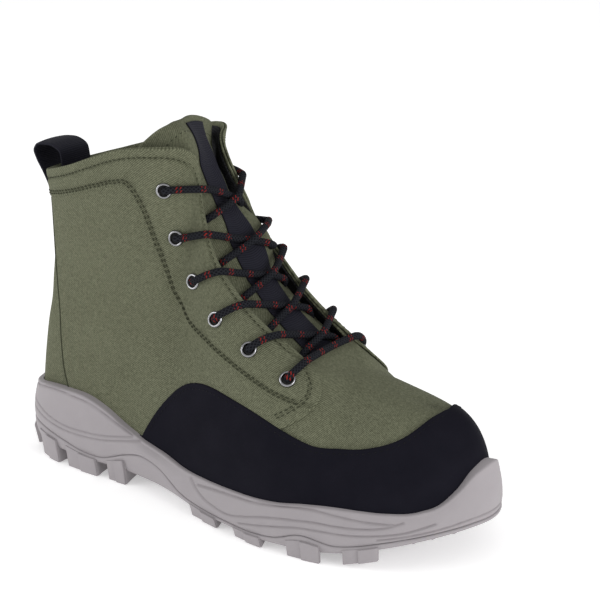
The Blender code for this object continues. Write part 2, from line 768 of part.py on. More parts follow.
def tongue_grid():
    """Points of the tongue's outer face."""
    depth = -(UPPER_WALL + TONGUE_CLEARANCE)
    rows = [tongue_row(tongue_curve(row[0])) for row in TONGUE]
    for station in TONGUE_ROOTS:
        near, far = (list(upper_points(station, side, [0.80, 0.90, 1.0], depth)) for side in (LATERAL, MEDIAL))
        rows.append(tongue_row(smooth_line(near + far[1::-1])))
    return np.array(rows)


def tongue_point(station, y, lift):
    """A point over the tongue, a set distance out along its normal."""
    rows = []
    for at in (station - 0.01, station, station + 0.01):
        curve = tongue_curve(at)
        rows.append([[np.interp(y + step, curve[:, 1], curve[:, axis]) for axis in range(3)]
                     for step in (-0.001, 0.0, 0.001)])
    rows = np.array(rows)
    normal = np.cross(rows[2, 1] - rows[0, 1], rows[1, 2] - rows[1, 0])
    return rows[1, 1] + lift * normal / np.linalg.norm(normal)


def grid_normals(grid):
    """The outward normals of the tongue's points."""
    down = np.gradient(grid, axis=0)
    across = np.gradient(grid, axis=1)
    normals = np.cross(down, across)
    return normals / np.linalg.norm(normals, axis=2, keepdims=True)


def make_tongue(collection, fabric):
    return sheet("tongue", [(tongue_grid(), True)], collection, fabric, TONGUE_THICKNESS, False)


def make_strip(collection, webbing):
    """The webbing strip down the middle of the tongue."""
    grid = tongue_grid()
    raised = (grid + GAP * grid_normals(grid))[:STRIP_ROWS, 2:7]
    raised[0] = raised[0] + 0.35 * (raised[1] - raised[0])
    return sheet("tongue_strip", [(raised, True)], collection, webbing, STRIP_THICKNESS, True)


# The lacing, a row for each pair of eyelets from the top down: the eyelet's
# section and its share of it, the station where the lace crosses the facing's
# edge, and the station where the strand from below comes out from under it.
LACING = (
    # station, share, over, under
    (0.348, 0.870, 0.430, 0.476),
    (0.374, 0.730, 0.502, 0.532),
    (0.450, 0.700, 0.552, 0.584),
    (0.534, 0.760, 0.600, 0.638),
    (0.612, 0.800, 0.656, 0.696),
    (0.684, 0.790, 0.716, 0.740),
)


def eyelet_frame(station, share, side, lift):
    """A point over the upper and the upper's normal there."""
    base = upper_points(station, side, [share])[0]
    raised = upper_points(station, side, [share], 0.001)[0]
    normal = (raised - base) / np.linalg.norm(raised - base)
    return base + lift * normal, normal


def solid_tree(body):
    """The finished faces of a body, ready to be touched by rays."""
    bpy.context.view_layer.update()
    return BVHTree.FromObject(body, bpy.context.evaluated_depsgraph_get())


def seat_on(tree, centre, normal, radius):
    """Moves a round foot down along its normal until it lies a gap above the faces under it."""
    centre, normal = Vector(centre), Vector(normal)
    across = normal.orthogonal().normalized()
    reach = 5 * FACING_THICKNESS
    heights = []
    for turn_step in range(EYELET_SIDES):
        spoke = Matrix.Rotation(2 * math.pi * turn_step / EYELET_SIDES, 3, normal) @ across
        for share in (0.6, 1.0):
            start = centre + share * radius * spoke + reach * normal
            distance = tree.ray_cast(start, -normal)[3]
            if distance is not None:
                heights.append(reach - distance)
    return centre + (max(heights) + GAP) * normal


def make_eyelets(collection, metal):
    """The rolled rings of the eyelets, six down each facing."""
    rim = (EYELET_RADIUS - EYELET_HOLE) / 2
    middle = (EYELET_RADIUS + EYELET_HOLE) / 2
    profile_points = [(middle + rim * 0.7, EYELET_HEIGHT), (EYELET_RADIUS, EYELET_HEIGHT * 0.4),
                      (EYELET_RADIUS, 0.0), (EYELET_HOLE, 0.0), (EYELET_HOLE, EYELET_HEIGHT * 0.5),
                      (middle - rim * 0.5, EYELET_HEIGHT)]
    shape = bmesh.new()
    verts = [shape.verts.new((x, 0.0, z)) for x, z in profile_points]
    for a, b in zip(verts, verts[1:] + verts[:1]):
        shape.edges.new((a, b))
    mesh = bpy.data.meshes.new("eyelet")
    shape.to_mesh(mesh)
    shape.free()
    for side, name in ((LATERAL, "lateral"), (MEDIAL, "medial")):
        tree = solid_tree(bpy.data.objects[f"facing_{name}"])
        for index, (station, share, _, _) in enumerate(LACING):
            centre, normal = eyelet_frame(station, share, side, 0.0)
            centre = seat_on(tree, centre, normal, EYELET_RADIUS)
            ring = bpy.data.objects.new(f"eyelet_{name}_{index + 1}", mesh)
            collection.objects.link(ring)
            if not mesh.materials:
                mesh.materials.append(metal)
            tilt = Vector(normal).to_track_quat("Z", "X").to_matrix().to_4x4()
            ring.matrix_world = Matrix.Translation(centre) @ tilt
            turned = ring.modifiers.new("turn", "SCREW")
            turned.steps = turned.render_steps = EYELET_SIDES
            turned.use_merge_vertices = True
            turned.merge_threshold = 0.00001
            turned.use_normal_calculate = True


def lace_points(control):
    """A smooth run of points through a strand's own few points."""
    control = np.array(control)
    chords = np.concatenate([[0.0], np.cumsum(np.linalg.norm(np.diff(control, axis=0), axis=1))])
    fine = np.linspace(0, chords[-1], max(5, round(chords[-1] / (2.4 * LACE_RADIUS))))
    return np.column_stack([smooth(chords, control[:, axis], fine) for axis in range(3)])


def lace_tube(name, control, collection, cord):
    """A strand of lace as a closed tube."""
    curve = bpy.data.curves.new(name, "CURVE")
    curve.dimensions = "3D"
    curve.bevel_depth = LACE_RADIUS
    curve.bevel_resolution = 1
    curve.use_fill_caps = True
    points = lace_points(control)
    spline = curve.splines.new("POLY")
    spline.points.add(len(points) - 1)
    for point, place in zip(spline.points, points):
        point.co = (*place, 1.0)
    drawn = bpy.data.objects.new(name + "_curve", curve)
    bpy.context.scene.collection.objects.link(drawn)
    graph = bpy.context.evaluated_depsgraph_get()
    mesh = bpy.data.meshes.new_from_object(drawn.evaluated_get(graph))
    bpy.data.objects.remove(drawn, do_unlink=True)
    shape = bmesh.new()
    shape.from_mesh(mesh)
    bmesh.ops.remove_doubles(shape, verts=shape.verts, dist=1e-6)
    shape.to_mesh(mesh)
    shape.free()
    mesh.name = name
    return new_object(name, mesh, collection, cord)


def lace_ends(index, side):
    """A strand's points over an eyelet and the facing, and where one comes out below its edge."""
    station, share, over, under = LACING[index]
    name = "lateral" if side == LATERAL else "medial"
    eyelet = bpy.data.objects[f"eyelet_{name}_{index + 1}"].matrix_world
    ring = FACING_GAP + FACING_THICKNESS + EYELET_GAP + EYELET_HEIGHT + LACE_CLEARANCE + LACE_RADIUS
    cloth = FACING_GAP + FACING_THICKNESS + LACE_CLEARANCE + LACE_RADIUS
    path = [eyelet_frame(station + part * (over - station), share + part * (EDGE_SHARE - share), side, lift)[0]
            for part, lift in ((0.35, ring), (0.70, ring), (1.0, cloth))]
    path.insert(0, np.array(eyelet @ Vector((0.0, 0.0, EYELET_HEIGHT + EYELET_GAP + LACE_RADIUS))))
    hem = upper_points(under, side, [1.0])[0]
    out = tongue_point(under, hem[1] - side * LACE_INSET, LACE_LIFT)
    return path, out


def make_laces(collection, cutters, cord):
    """Five crossings and the bar at the bottom, each a solid of its own."""
    for index in range(len(LACING) - 1):
        _, _, over, under = LACING[index]
        near, near_out = lace_ends(index, LATERAL)
        far, far_out = lace_ends(index, MEDIAL)
        low = tongue_point((over + under) / 2, 0.0, LACE_LIFT)
        high = tongue_point((over + under) / 2, 0.0, LACE_LIFT + CROSS_RISE * LACE_RADIUS)
        name = f"lace_crossing_{index + 1}"
        body = lace_tube(name, near + [low, far_out], collection, cord)
        other = lace_tube(name + "_over", far + [high, near_out], cutters, None)
        other.hide_render = True
        other.display_type = "WIRE"
        union = body.modifiers.new("cross", "BOOLEAN")
        union.operation = "UNION"
        union.object = other
    near, _ = lace_ends(len(LACING) - 1, LATERAL)
    far, _ = lace_ends(len(LACING) - 1, MEDIAL)
    high = tongue_point(BAR_STATION, 0.0, BAR_LIFT + LACE_RADIUS)
    lace_tube("lace_bar", near + [high] + far[::-1], collection, cord)


# The pull loop's middle line, from its foot outside the collar over to its end
# inside: how far behind the collar's back edge and how far above it each point
# lies, as shares of the loop's height.
LOOP = (
    # behind, above
    (0.147, -1.40),
    (0.19, -1.05),
    (0.36, -0.70),
    (0.62, -0.25),
    (0.92, 0.20),
    (1.03, 0.50),
    (0.90, 0.72),
    (0.55, 0.81),
    (0.06, 0.80),
    (-0.28, 0.62),
    (-0.37, 0.30),
    (-0.40, -0.10),
    (-0.41, -0.50),
)


def make_loop(collection, webbing):
    """The pull loop at the collar's back, one bent strap."""
    back = upper_points(0.0, LATERAL, [1.0])[0]
    control = np.array([[back[0] - LOOP_HEIGHT * behind, back[2] + LOOP_HEIGHT * above]
                        for behind, above in LOOP])
    tangents = np.gradient(control, axis=0)
    tangents /= np.linalg.norm(tangents, axis=1, keepdims=True)
    across = np.column_stack([-tangents[:, 1], tangents[:, 0]])
    left = control + LOOP_THICKNESS / 2 * across
    right = control - LOOP_THICKNESS / 2 * across
    count = len(control)
    points, faces = [], []
    for y in (-LOOP_WIDTH / 2, LOOP_WIDTH / 2):
        for pair in zip(left, right):
            points += [np.array([p[0], y, p[1]]) for p in pair]
    wide = 2 * count
    for i in range(count - 1):
        a, b = 2 * i, 2 * i + 2
        faces += [(a, b, b + 1, a + 1), (a + wide, a + 1 + wide, b + 1 + wide, b + wide)]
        faces += [(a, a + wide, b + wide, b), (a + 1, b + 1, b + 1 + wide, a + 1 + wide)]
    for a in (0, 2 * count - 2):
        faces.append((a, a + 1, a + 1 + wide, a + wide))
    return new_object("pull_loop", mesh_from("pull_loop", points, faces), collection, webbing)


def main():
    for body in list(bpy.data.objects):
        bpy.data.objects.remove(body, do_unlink=True)
    boot = bpy.data.collections.new(OBJECT_NAME)
    lugs = bpy.data.collections.new("lugs")
    strands = bpy.data.collections.new("strands")
    for group in (boot, lugs, strands):
        bpy.context.scene.collection.children.link(group)

    canvas = material("canvas", (0.155, 0.175, 0.095), 0.90)
    rand_black = material("rand_black", (0.012, 0.012, 0.018), 0.80)
    rubber = material("grey_rubber", (0.36, 0.33, 0.34), 0.60)
    foam = material("insole_foam", (0.05, 0.05, 0.05), 0.90)
    webbing = material("black_webbing", (0.010, 0.011, 0.020), 0.80)
    metal = material("eyelet_metal", (0.62, 0.62, 0.63), 0.30, 1.0)
    cord = material("lace_cord", (0.012, 0.014, 0.020), 0.75)

    make_outsole(boot, lugs, rubber)
    make_midsole(boot, rubber)
    make_insole(boot, foam)
    make_upper(boot, canvas)
    make_rand(boot, rand_black)
    make_facing("facing_lateral", LATERAL, boot, canvas)
    make_facing("facing_medial", MEDIAL, boot, canvas)
    make_tongue(boot, canvas)
    make_strip(boot, webbing)
    make_eyelets(boot, metal)
    make_laces(boot, strands, cord)
    make_loop(boot, webbing)


main()
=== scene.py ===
"""The looks of the wading boot: cloth, rubber, stitches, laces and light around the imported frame.

Part frame, in metres: +X from heel to toe, +Y to the medial side, +Z up. The
canvas, its overlays and the rand all lie on one surface, a row of sections that
each run from the edge of the sole up to the collar, the facing or the vamp.
"""
import math

import bmesh
import bpy
import numpy as np
from mathutils import Matrix, Vector
from mathutils.kdtree import KDTree


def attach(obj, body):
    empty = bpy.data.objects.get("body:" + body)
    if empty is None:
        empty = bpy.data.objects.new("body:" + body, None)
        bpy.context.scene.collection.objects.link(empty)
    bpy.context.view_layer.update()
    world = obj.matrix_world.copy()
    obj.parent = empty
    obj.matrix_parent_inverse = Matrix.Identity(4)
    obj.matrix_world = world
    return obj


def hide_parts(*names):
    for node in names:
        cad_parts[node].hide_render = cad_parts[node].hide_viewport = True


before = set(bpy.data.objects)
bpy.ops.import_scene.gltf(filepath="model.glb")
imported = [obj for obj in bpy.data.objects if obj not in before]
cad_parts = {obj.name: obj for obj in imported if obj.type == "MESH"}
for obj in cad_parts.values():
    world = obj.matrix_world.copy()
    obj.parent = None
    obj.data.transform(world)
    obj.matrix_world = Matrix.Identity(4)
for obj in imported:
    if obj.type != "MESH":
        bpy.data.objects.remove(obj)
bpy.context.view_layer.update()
bpy.context.scene.view_settings.view_transform = "Standard"

# Driving dimensions, in metres
SOLE_LENGTH = 0.312
BALL_WIDTH = 0.1233
SHAFT_HEIGHT = 0.200
SOLE_HEIGHT = 0.054
HEEL_SEAT = 0.040
CUP_INSET = 0.008
GAP = 0.0003

UPPER_WALL = 0.0025
ANKLE_HOLLOW = 0.0075
FACING_FLARE = 0.007
MEDIAL_DROP = 0.004
MEDIAL_NARROW = 0.10

BED_THICKNESS = 0.0045
BED_LEAST = 0.0025
PLATE_THICKNESS = 0.0028
CORE_STEP = 0.004
CORE_EDGE = 0.007
PLATE_EDGE = 0.0022
CUP_LIP = 0.0016
SOLE_TAPER = 0.0030
INSOLE_THICKNESS = 0.004

TONGUE_THICKNESS = 0.0022
TONGUE_CLEARANCE = 0.0028
TONGUE_TUCK = 0.90
STRIP_WIDTH = 0.020

LACE_INSET = 0.0095
BAR_STATION = 0.715

LOOP_WIDTH = 0.025
LOOP_THICKNESS = 0.0016
LOOP_HEIGHT = 0.016

LATERAL = -1
MEDIAL = 1
BOTH_SIDES = ((LATERAL, "lateral"), (MEDIAL, "medial"))


# The sole seen from above. Station as a share of the length, half widths as
# shares of the ball width, inset of the upper as a share of the cup inset.
OUTLINE = (
    # station, lateral, medial, inset
    (0.000, 0.000, 0.000, 0.56),
    (0.013, 0.128, 0.126, 0.60),
    (0.038, 0.262, 0.230, 0.70),
    (0.064, 0.333, 0.290, 0.82),
    (0.103, 0.382, 0.333, 0.94),
    (0.160, 0.408, 0.357, 1.02),
    (0.240, 0.412, 0.343, 1.02),
    (0.321, 0.405, 0.303, 0.94),
    (0.385, 0.418, 0.282, 0.90),
    (0.449, 0.450, 0.298, 0.88),
    (0.513, 0.484, 0.333, 0.86),
    (0.577, 0.513, 0.389, 0.86),
    (0.651, 0.535, 0.438, 0.86),
    (0.728, 0.527, 0.460, 0.86),
    (0.785, 0.499, 0.450, 0.86),
    (0.840, 0.454, 0.412, 0.88),
    (0.897, 0.377, 0.349, 0.92),
    (0.942, 0.276, 0.268, 0.98),
    (0.974, 0.170, 0.174, 1.02),
    (1.000, 0.000, 0.000, 1.04),
)

# The sole seen from the side, heights as shares of the sole height: the bed
# that the foot lies on, the rim of the cup, the joint line between outsole and
# midsole, the underside between the lugs and the level the lugs reach down to.
PROFILE = (
    # station, bed, rim, joint, under, tread
    (0.000, 0.519, 0.700, 0.389, 0.222, 0.074),
    (0.038, 0.509, 0.770, 0.389, 0.194, 0.028),
    (0.077, 0.500, 0.830, 0.380, 0.172, 0.000),
    (0.160, 0.481, 0.885, 0.310, 0.165, 0.000),
    (0.212, 0.472, 0.875, 0.250, 0.165, 0.000),
    (0.256, 0.454, 0.800, 0.250, 0.165, 0.000),
    (0.311, 0.420, 0.640, 0.360, 0.160, 0.000),
    (0.346, 0.389, 0.565, 0.410, 0.150, 0.000),
    (0.401, 0.350, 0.500, 0.360, 0.140, 0.000),
    (0.458, 0.315, 0.445, 0.200, 0.115, 0.000),
    (0.513, 0.295, 0.445, 0.150, 0.092, 0.000),
    (0.577, 0.287, 0.460, 0.140, 0.085, 0.000),
    (0.641, 0.282, 0.485, 0.140, 0.080, 0.000),
    (0.689, 0.282, 0.515, 0.175, 0.085, 0.000),
    (0.734, 0.284, 0.560, 0.265, 0.095, 0.000),
    (0.801, 0.310, 0.590, 0.225, 0.130, 0.010),
    (0.840, 0.345, 0.590, 0.260, 0.180, 0.065),
    (0.881, 0.385, 0.585, 0.320, 0.240, 0.130),
    (0.929, 0.430, 0.600, 0.380, 0.310, 0.210),
    (0.955, 0.450, 0.660, 0.410, 0.345, 0.260),
    (0.974, 0.480, 0.790, 0.430, 0.370, 0.295),
    (0.988, 0.495, 0.925, 0.450, 0.390, 0.330),
    (1.000, 0.505, 1.000, 0.460, 0.405, 0.355),
)

# The upper, a row for each section from the heel's back round to the toe. Its
# foot and its top end as shares of the length, the ball width and the shaft
# height, how full its curve is on the lateral and medial sides (1 straight,
# 2 round), and how much of the ankle's hollow it has.
SECTIONS = (
    # foot, top_x, top_y, top_z, lateral, medial, hollow
    (0.000, 0.054, 0.000, 0.845, 1.25, 1.25, 0.65),
    (0.013, 0.062, 0.112, 0.849, 1.25, 1.25, 0.68),
    (0.038, 0.080, 0.200, 0.858, 1.22, 1.22, 0.74),
    (0.083, 0.118, 0.268, 0.878, 1.15, 1.15, 0.84),
    (0.144, 0.174, 0.319, 0.908, 1.07, 1.07, 0.92),
    (0.218, 0.240, 0.339, 0.950, 1.02, 1.02, 0.92),
    (0.288, 0.308, 0.333, 0.988, 1.00, 1.00, 0.80),
    (0.343, 0.357, 0.282, 1.000, 1.02, 1.02, 0.60),
    (0.375, 0.379, 0.216, 0.997, 1.05, 1.03, 0.50),
    (0.397, 0.393, 0.170, 0.975, 1.08, 1.04, 0.42),
    (0.426, 0.406, 0.155, 0.915, 1.14, 1.07, 0.34),
    (0.468, 0.423, 0.166, 0.835, 1.26, 1.14, 0.24),
    (0.522, 0.462, 0.207, 0.715, 1.42, 1.22, 0.14),
    (0.577, 0.513, 0.215, 0.622, 1.55, 1.28, 0.06),
    (0.635, 0.572, 0.203, 0.542, 1.68, 1.36, 0.00),
    (0.692, 0.638, 0.170, 0.480, 1.80, 1.50, 0.00),
    (0.734, 0.679, 0.130, 0.448, 1.90, 1.65, 0.00),
    (0.763, 0.702, 0.080, 0.432, 1.95, 1.78, 0.00),
    (0.782, 0.714, 0.000, 0.425, 2.00, 1.88, 0.00),
    (0.808, 0.744, 0.000, 0.416, 2.05, 1.98, 0.00),
    (0.853, 0.785, 0.000, 0.404, 2.15, 2.10, 0.00),
    (0.904, 0.824, 0.000, 0.394, 2.25, 2.22, 0.00),
    (0.949, 0.849, 0.000, 0.388, 2.40, 2.36, 0.00),
    (0.978, 0.862, 0.000, 0.385, 2.55, 2.50, 0.00),
    (1.000, 0.867, 0.000, 0.384, 2.60, 2.60, 0.00),
)
SEAM_STATION = 0.782
HOLLOW_LIFT = 1.8
CORNER_STATION = 0.375
CORNER_SPREAD = 0.055


def column(table, index):
    """One column of a table, as an array."""
    return np.array([row[index] for row in table], dtype=float)


def smooth(stations, values, where):
    """A smooth curve through the rows of a table."""
    where = np.asarray(where, dtype=float)
    steps = np.diff(stations)
    slopes = np.diff(values) / steps
    tangents = np.empty_like(values)
    tangents[0], tangents[-1] = slopes[0], slopes[-1]
    tangents[1:-1] = (slopes[:-1] * steps[1:] + slopes[1:] * steps[:-1]) / (steps[:-1] + steps[1:])
    cell = np.clip(np.searchsorted(stations, where) - 1, 0, len(steps) - 1)
    step = steps[cell]
    t = (where - stations[cell]) / step
    return (
        values[cell] * (1 + 2 * t) * (1 - t) ** 2
        + step * tangents[cell] * t * (1 - t) ** 2
        + values[cell + 1] * t**2 * (3 - 2 * t)
        + step * tangents[cell + 1] * t**2 * (t - 1)
    )


def through(table, where, index=1):
    """The smooth curve through a column of a table."""
    return smooth(column(table, 0), column(table, index), where)


def turn(station):
    """The angle round the outline, 0 at the heel's back and pi at the toe."""
    return np.arccos(1 - 2 * np.clip(station, 0, 1))


OUTLINE_TURN = turn(column(OUTLINE, 0))


def station_at(x):
    return float(np.clip((x + HEEL_SEAT) / SOLE_LENGTH, 0.0, 1.0))


def half_width(angle, side):
    """Half width of the sole on one side, at an angle round its outline."""
    return BALL_WIDTH * smooth(OUTLINE_TURN, column(OUTLINE, 1 if side == LATERAL else 2), angle)


def profile(station, index):
    """A height of the sole at a station."""
    return SOLE_HEIGHT * through(PROFILE, station, index)


def bed_height(station):
    return profile(station, 1)


def rim_height(station):
    return profile(station, 2)


def joint_height(station):
    return profile(station, 3)


def under_height(station):
    return profile(station, 4)


def tread_height(station):
    return np.maximum(profile(station, 5), 0.0)


def seam_height(station):
    """The level at which the midsole's core lies on the outsole's plate."""
    bed, under = float(bed_height(station)), float(under_height(station))
    return min(bed - BED_LEAST, max(bed - BED_THICKNESS, under + PLATE_THICKNESS))


def outline_point(station, side, inset):
    """A point on the sole's outline, moved in along the outline's normal, and that normal."""
    angle = float(turn(station))
    step = 0.01
    low, high = max(angle - step, 0.0), min(angle + step, math.pi)
    run = SOLE_LENGTH / 2 * math.sin(angle)
    rise = float(half_width(high, side) - half_width(low, side)) / (high - low)
    length = math.hypot(run, rise)
    inward = np.array([rise / length, -side * run / length])
    point = np.array([station * SOLE_LENGTH - HEEL_SEAT, side * float(half_width(angle, side))])
    return point + inset * inward, inward


def cup_inset(station):
    return CUP_INSET * float(smooth(OUTLINE_TURN, column(OUTLINE, 3), turn(station)))


def section_curve(station, side):
    """Points along one section of the upper, from the bed to its top end."""
    foot, inward = outline_point(station, side, cup_inset(station))
    low = float(bed_height(station_at(foot[0]))) + GAP
    corner = math.exp(-(((station - CORNER_STATION) / CORNER_SPREAD) ** 2))
    flare = -side * FACING_FLARE * corner
    top_x = float(through(SECTIONS, station, 1)) * SOLE_LENGTH - HEEL_SEAT + flare
    top_y = side * max(float(through(SECTIONS, station, 2)), 0.0) * BALL_WIDTH
    if station >= SEAM_STATION:
        top_y = 0.0
    top_z = float(through(SECTIONS, station, 3)) * SHAFT_HEIGHT
    if side == MEDIAL:
        top_z -= MEDIAL_DROP * corner
        throat = np.clip((station - 0.36) / 0.06, 0, 1) * np.clip((0.69 - station) / 0.08, 0, 1)
        top_y *= 1 - MEDIAL_NARROW * float(throat)
    power = 2 / float(through(SECTIONS, station, 4 if side == LATERAL else 5))
    phi = np.linspace(0, math.pi / 2, 129)
    across = 1 - np.clip(np.cos(phi), 0, 1) ** power
    up = np.sin(phi) ** power
    pull = float(through(SECTIONS, station, 6)) * ANKLE_HOLLOW * np.sin(math.pi * up**HOLLOW_LIFT)
    x = foot[0] + (top_x - foot[0]) * across + pull * inward[0]
    y = foot[1] + (top_y - foot[1]) * across + pull * inward[1]
    z = low + (top_z - low) * up
    return np.column_stack([x, y, z])


def arc_length(points):
    """How far along a line of points each of them lies."""
    return np.concatenate([[0.0], np.cumsum(np.linalg.norm(np.diff(points, axis=0), axis=1))])


def sampled(points, lengths, at):
    """Places on a line of points, whose own distances along it are given."""
    return np.column_stack([np.interp(at, lengths, points[:, axis]) for axis in range(3)])


def smoothed(points, lengths, at):
    """Places on a smooth curve through points."""
    return np.column_stack([smooth(lengths, points[:, axis], at) for axis in range(3)])


def along(curve, shares):
    """Points at the given shares of a curve's length."""
    lengths = arc_length(curve)
    return sampled(curve, lengths, np.asarray(shares, dtype=float) * lengths[-1])


def share_at_height(station, side, height):
    """How far along a section a height lies, as a share of the section's length."""
    curve = section_curve(station, side)
    lengths = arc_length(curve)
    return float(np.interp(height, curve[:, 2], lengths / lengths[-1]))


def spread(stations, between):
    """The rows' stations, with more put between those that lie far apart round the outline."""
    result = []
    for low, high in zip(stations, stations[1:]):
        start, end = float(turn(low)), float(turn(high))
        pieces = max(1, round((end - start) / between))
        angles = np.linspace(start, end, pieces + 1)[:-1]
        result += [low] + [float(1 - math.cos(angle)) / 2 for angle in angles[1:]]
    return result + [stations[-1]]


def section_stations(between):
    return np.array(spread([row[0] for row in SECTIONS], between))


def sole_stations(between):
    return np.array(spread([0.0, 0.25, 0.5, 0.75, 1.0], between))


def grid_faces(rows, across):
    """Quads of a grid whose points are numbered row by row."""
    faces = []
    for i in range(rows - 1):
        for j in range(across - 1):
            a = i * across + j
            faces.append((a, a + 1, a + across + 1, a + across))
    return faces


def ring_faces(rings, count, base=0):
    """Quads between rings of points, numbered one ring after another."""
    faces = []
    for i in range(base, base + (rings - 1) * count, count):
        for k in range(count):
            a, b = i + k, i + (k + 1) % count
            faces.append((a, b, b + count, a + count))
    return faces


def rim_inset(station):
    """How far in from the outline the cup's rim lies, leaving the cup its wall."""
    return min(SOLE_TAPER, cup_inset(station) - GAP - 2 * CUP_LIP)


# The lugs along the sole's edge: the stations they start and end at and how far
# they reach in, as shares of the length, and how far they lean towards the heel.
# Those under the heel are the same on both sides.
HEEL_LUGS = (
    # start, end, reach, lean
    (0.087, 0.144, 0.062, 0.000),
    (0.167, 0.244, 0.070, 0.004),
    (0.269, 0.311, 0.062, 0.008),
)
LATERAL_LUGS = HEEL_LUGS + (
    (0.484, 0.554, 0.060, 0.020),
    (0.596, 0.660, 0.072, 0.024),
    (0.712, 0.776, 0.076, 0.024),
    (0.814, 0.872, 0.066, 0.020),
)
MEDIAL_LUGS = HEEL_LUGS + (
    (0.458, 0.513, 0.050, 0.016),
    (0.571, 0.635, 0.062, 0.020),
    (0.673, 0.760, 0.070, 0.020),
    (0.785, 0.843, 0.062, 0.016),
)

# The pods down the middle of the tread: their two ends, lengthways as shares of
# the length and crossways as shares of the ball width, and how far they bow.
PODS = (
    # start, start_side, end, end_side, bow
    (0.779, 0.195, 0.872, -0.135, 0.015),
    (0.654, 0.225, 0.801, -0.190, 0.00),
    (0.529, 0.150, 0.708, -0.250, 0.00),
    (0.446, 0.035, 0.596, -0.262, 0.00),
    (0.100, 0.105, 0.100, -0.105, -0.045),
    (0.170, 0.110, 0.170, -0.110, 0.030),
    (0.275, 0.085, 0.275, -0.085, 0.045),
    (0.112, 0.000, 0.158, 0.000, 0.000),
)
POD_WIDTH = 0.0085
TOE_RIDGES = (0.902, 0.927, 0.952)
RIDGE_WIDTH = 0.0034
RIDGE_INSET = 0.013
RIDGE_DROP = 0.45
LUG_ROOT = 0.0016
LUG_TAPER = 0.0008
LUG_PINCH = 0.14
LUG_ROUND = 0.00055


# The tongue, a row from the collar down: the station whose top edge it passes
# under, the station and share of its side edge, and its middle.
TONGUE = (
    # edge, side_station, side_share, middle_x, middle_z
    (0.343, 0.290, 0.960, 0.352, 1.045),
    (0.375, 0.325, 0.930, 0.367, 0.998),
    (0.397, 0.352, 0.880, 0.381, 0.955),
    (0.426, 0.388, 0.850, 0.403, 0.884),
    (0.468, 0.440, 0.820, 0.437, 0.805),
    (0.522, 0.505, 0.800, 0.484, 0.700),
    (0.577, 0.565, 0.800, 0.527, 0.602),
    (0.635, 0.628, 0.800, 0.575, 0.532),
    (0.692, 0.688, 0.800, 0.622, 0.478),
    (0.734, 0.732, 0.800, 0.662, 0.440),
)
TONGUE_ROOTS = (0.795, 0.825)


def tongue_curve(station):
    """Fine points across the tongue, at a station of the facing's edge."""
    depth = -(UPPER_WALL + TONGUE_CLEARANCE)
    side_station, side_share, x, z = (float(through(TONGUE, station, i)) for i in (1, 2, 3, 4))
    ends = {side: (on_upper(side, side_station, side_share, depth)[0],
                   on_upper(side, station, 1.0, depth)[0]) for side in (LATERAL, MEDIAL)}
    middle = np.array([x * SOLE_LENGTH - HEEL_SEAT, 0.0, z * SHAFT_HEIGHT])
    for side in (LATERAL, MEDIAL):
        ends[side][1][1] *= TONGUE_TUCK
    return smooth_line([ends[LATERAL][0], ends[LATERAL][1], middle, ends[MEDIAL][1], ends[MEDIAL][0]])


def smooth_line(control):
    """Fine points on a smooth curve through a few points."""
    control = np.array(control)
    chords = arc_length(control)
    return smoothed(control, chords, np.linspace(0, chords[-1], 161))


def tongue_point(station, y, lift):
    """A point over the tongue, a set distance out along its normal."""
    rows = []
    for at in (station - 0.01, station, station + 0.01):
        curve = tongue_curve(at)
        rows.append([[np.interp(y + step, curve[:, 1], curve[:, axis]) for axis in range(3)]
                     for step in (-0.001, 0.0, 0.001)])
    rows = np.array(rows)
    normal = np.cross(rows[2, 1] - rows[0, 1], rows[1, 2] - rows[1, 0])
    return rows[1, 1] + lift * normal / np.linalg.norm(normal)


def grid_normals(grid):
    """The outward normals of the tongue's points."""
    down = np.gradient(grid, axis=0)
    across = np.gradient(grid, axis=1)
    normals = np.cross(down, across)
    return normals / np.linalg.norm(normals, axis=2, keepdims=True)


# The lacing, a row for each pair of eyelets from the top down: the eyelet's
# section and its share of it, the station where the lace crosses the facing's
# edge, and the station where the strand from below comes out from under it.
LACING = (
    # station, share, over, under
    (0.348, 0.870, 0.430, 0.476),
    (0.374, 0.730, 0.502, 0.532),
    (0.450, 0.700, 0.552, 0.584),
    (0.534, 0.760, 0.600, 0.638),
    (0.612, 0.800, 0.656, 0.696),
    (0.684, 0.790, 0.716, 0.740),
)


# The pull loop's middle line, from its foot outside the collar over to its end
# inside: how far behind the collar's back edge and how far above it each point
# lies, as shares of the loop's height.
LOOP = (
    # behind, above
    (0.147, -1.40),
    (0.19, -1.05),
    (0.36, -0.70),
    (0.62, -0.25),
    (0.92, 0.20),
    (1.03, 0.50),
    (0.90, 0.72),
    (0.55, 0.81),
    (0.06, 0.80),
    (-0.28, 0.62),
    (-0.37, 0.30),
    (-0.40, -0.10),
    (-0.41, -0.50),
)


# The grid on which the upper's surface is kept.
FINE_STATIONS = section_stations(0.009)
FINE_ANGLES = turn(FINE_STATIONS)
FINE_SHARES = np.linspace(0.0, 1.0, 241)

# Soft folds of the canvas, each along a line on the upper: how deep it is and
# how far its slope reaches to each side, in metres. A ridge has a minus depth.
FOLDS = (
    # station, share, station, share, depth, reach
    (0.748, 0.640, 0.772, 0.880, 0.0005, 0.0050),
    (0.782, 0.680, 0.800, 1.000, -0.0003, 0.0080),
    (0.180, 0.560, 0.330, 0.400, 0.0009, 0.0130),
    (0.150, 0.440, 0.290, 0.300, -0.0006, 0.0140),
    (0.380, 0.420, 0.520, 0.520, 0.0007, 0.0100),
    (0.540, 0.540, 0.660, 0.590, 0.0004, 0.0070),
    (0.120, 0.760, 0.250, 0.700, 0.0006, 0.0140),
    (0.020, 0.480, 0.090, 0.430, 0.0007, 0.0100),
    (0.235, 0.920, 0.250, 1.000, 0.0005, 0.0080),
    (0.090, 0.930, 0.100, 1.000, -0.0004, 0.0070),
)

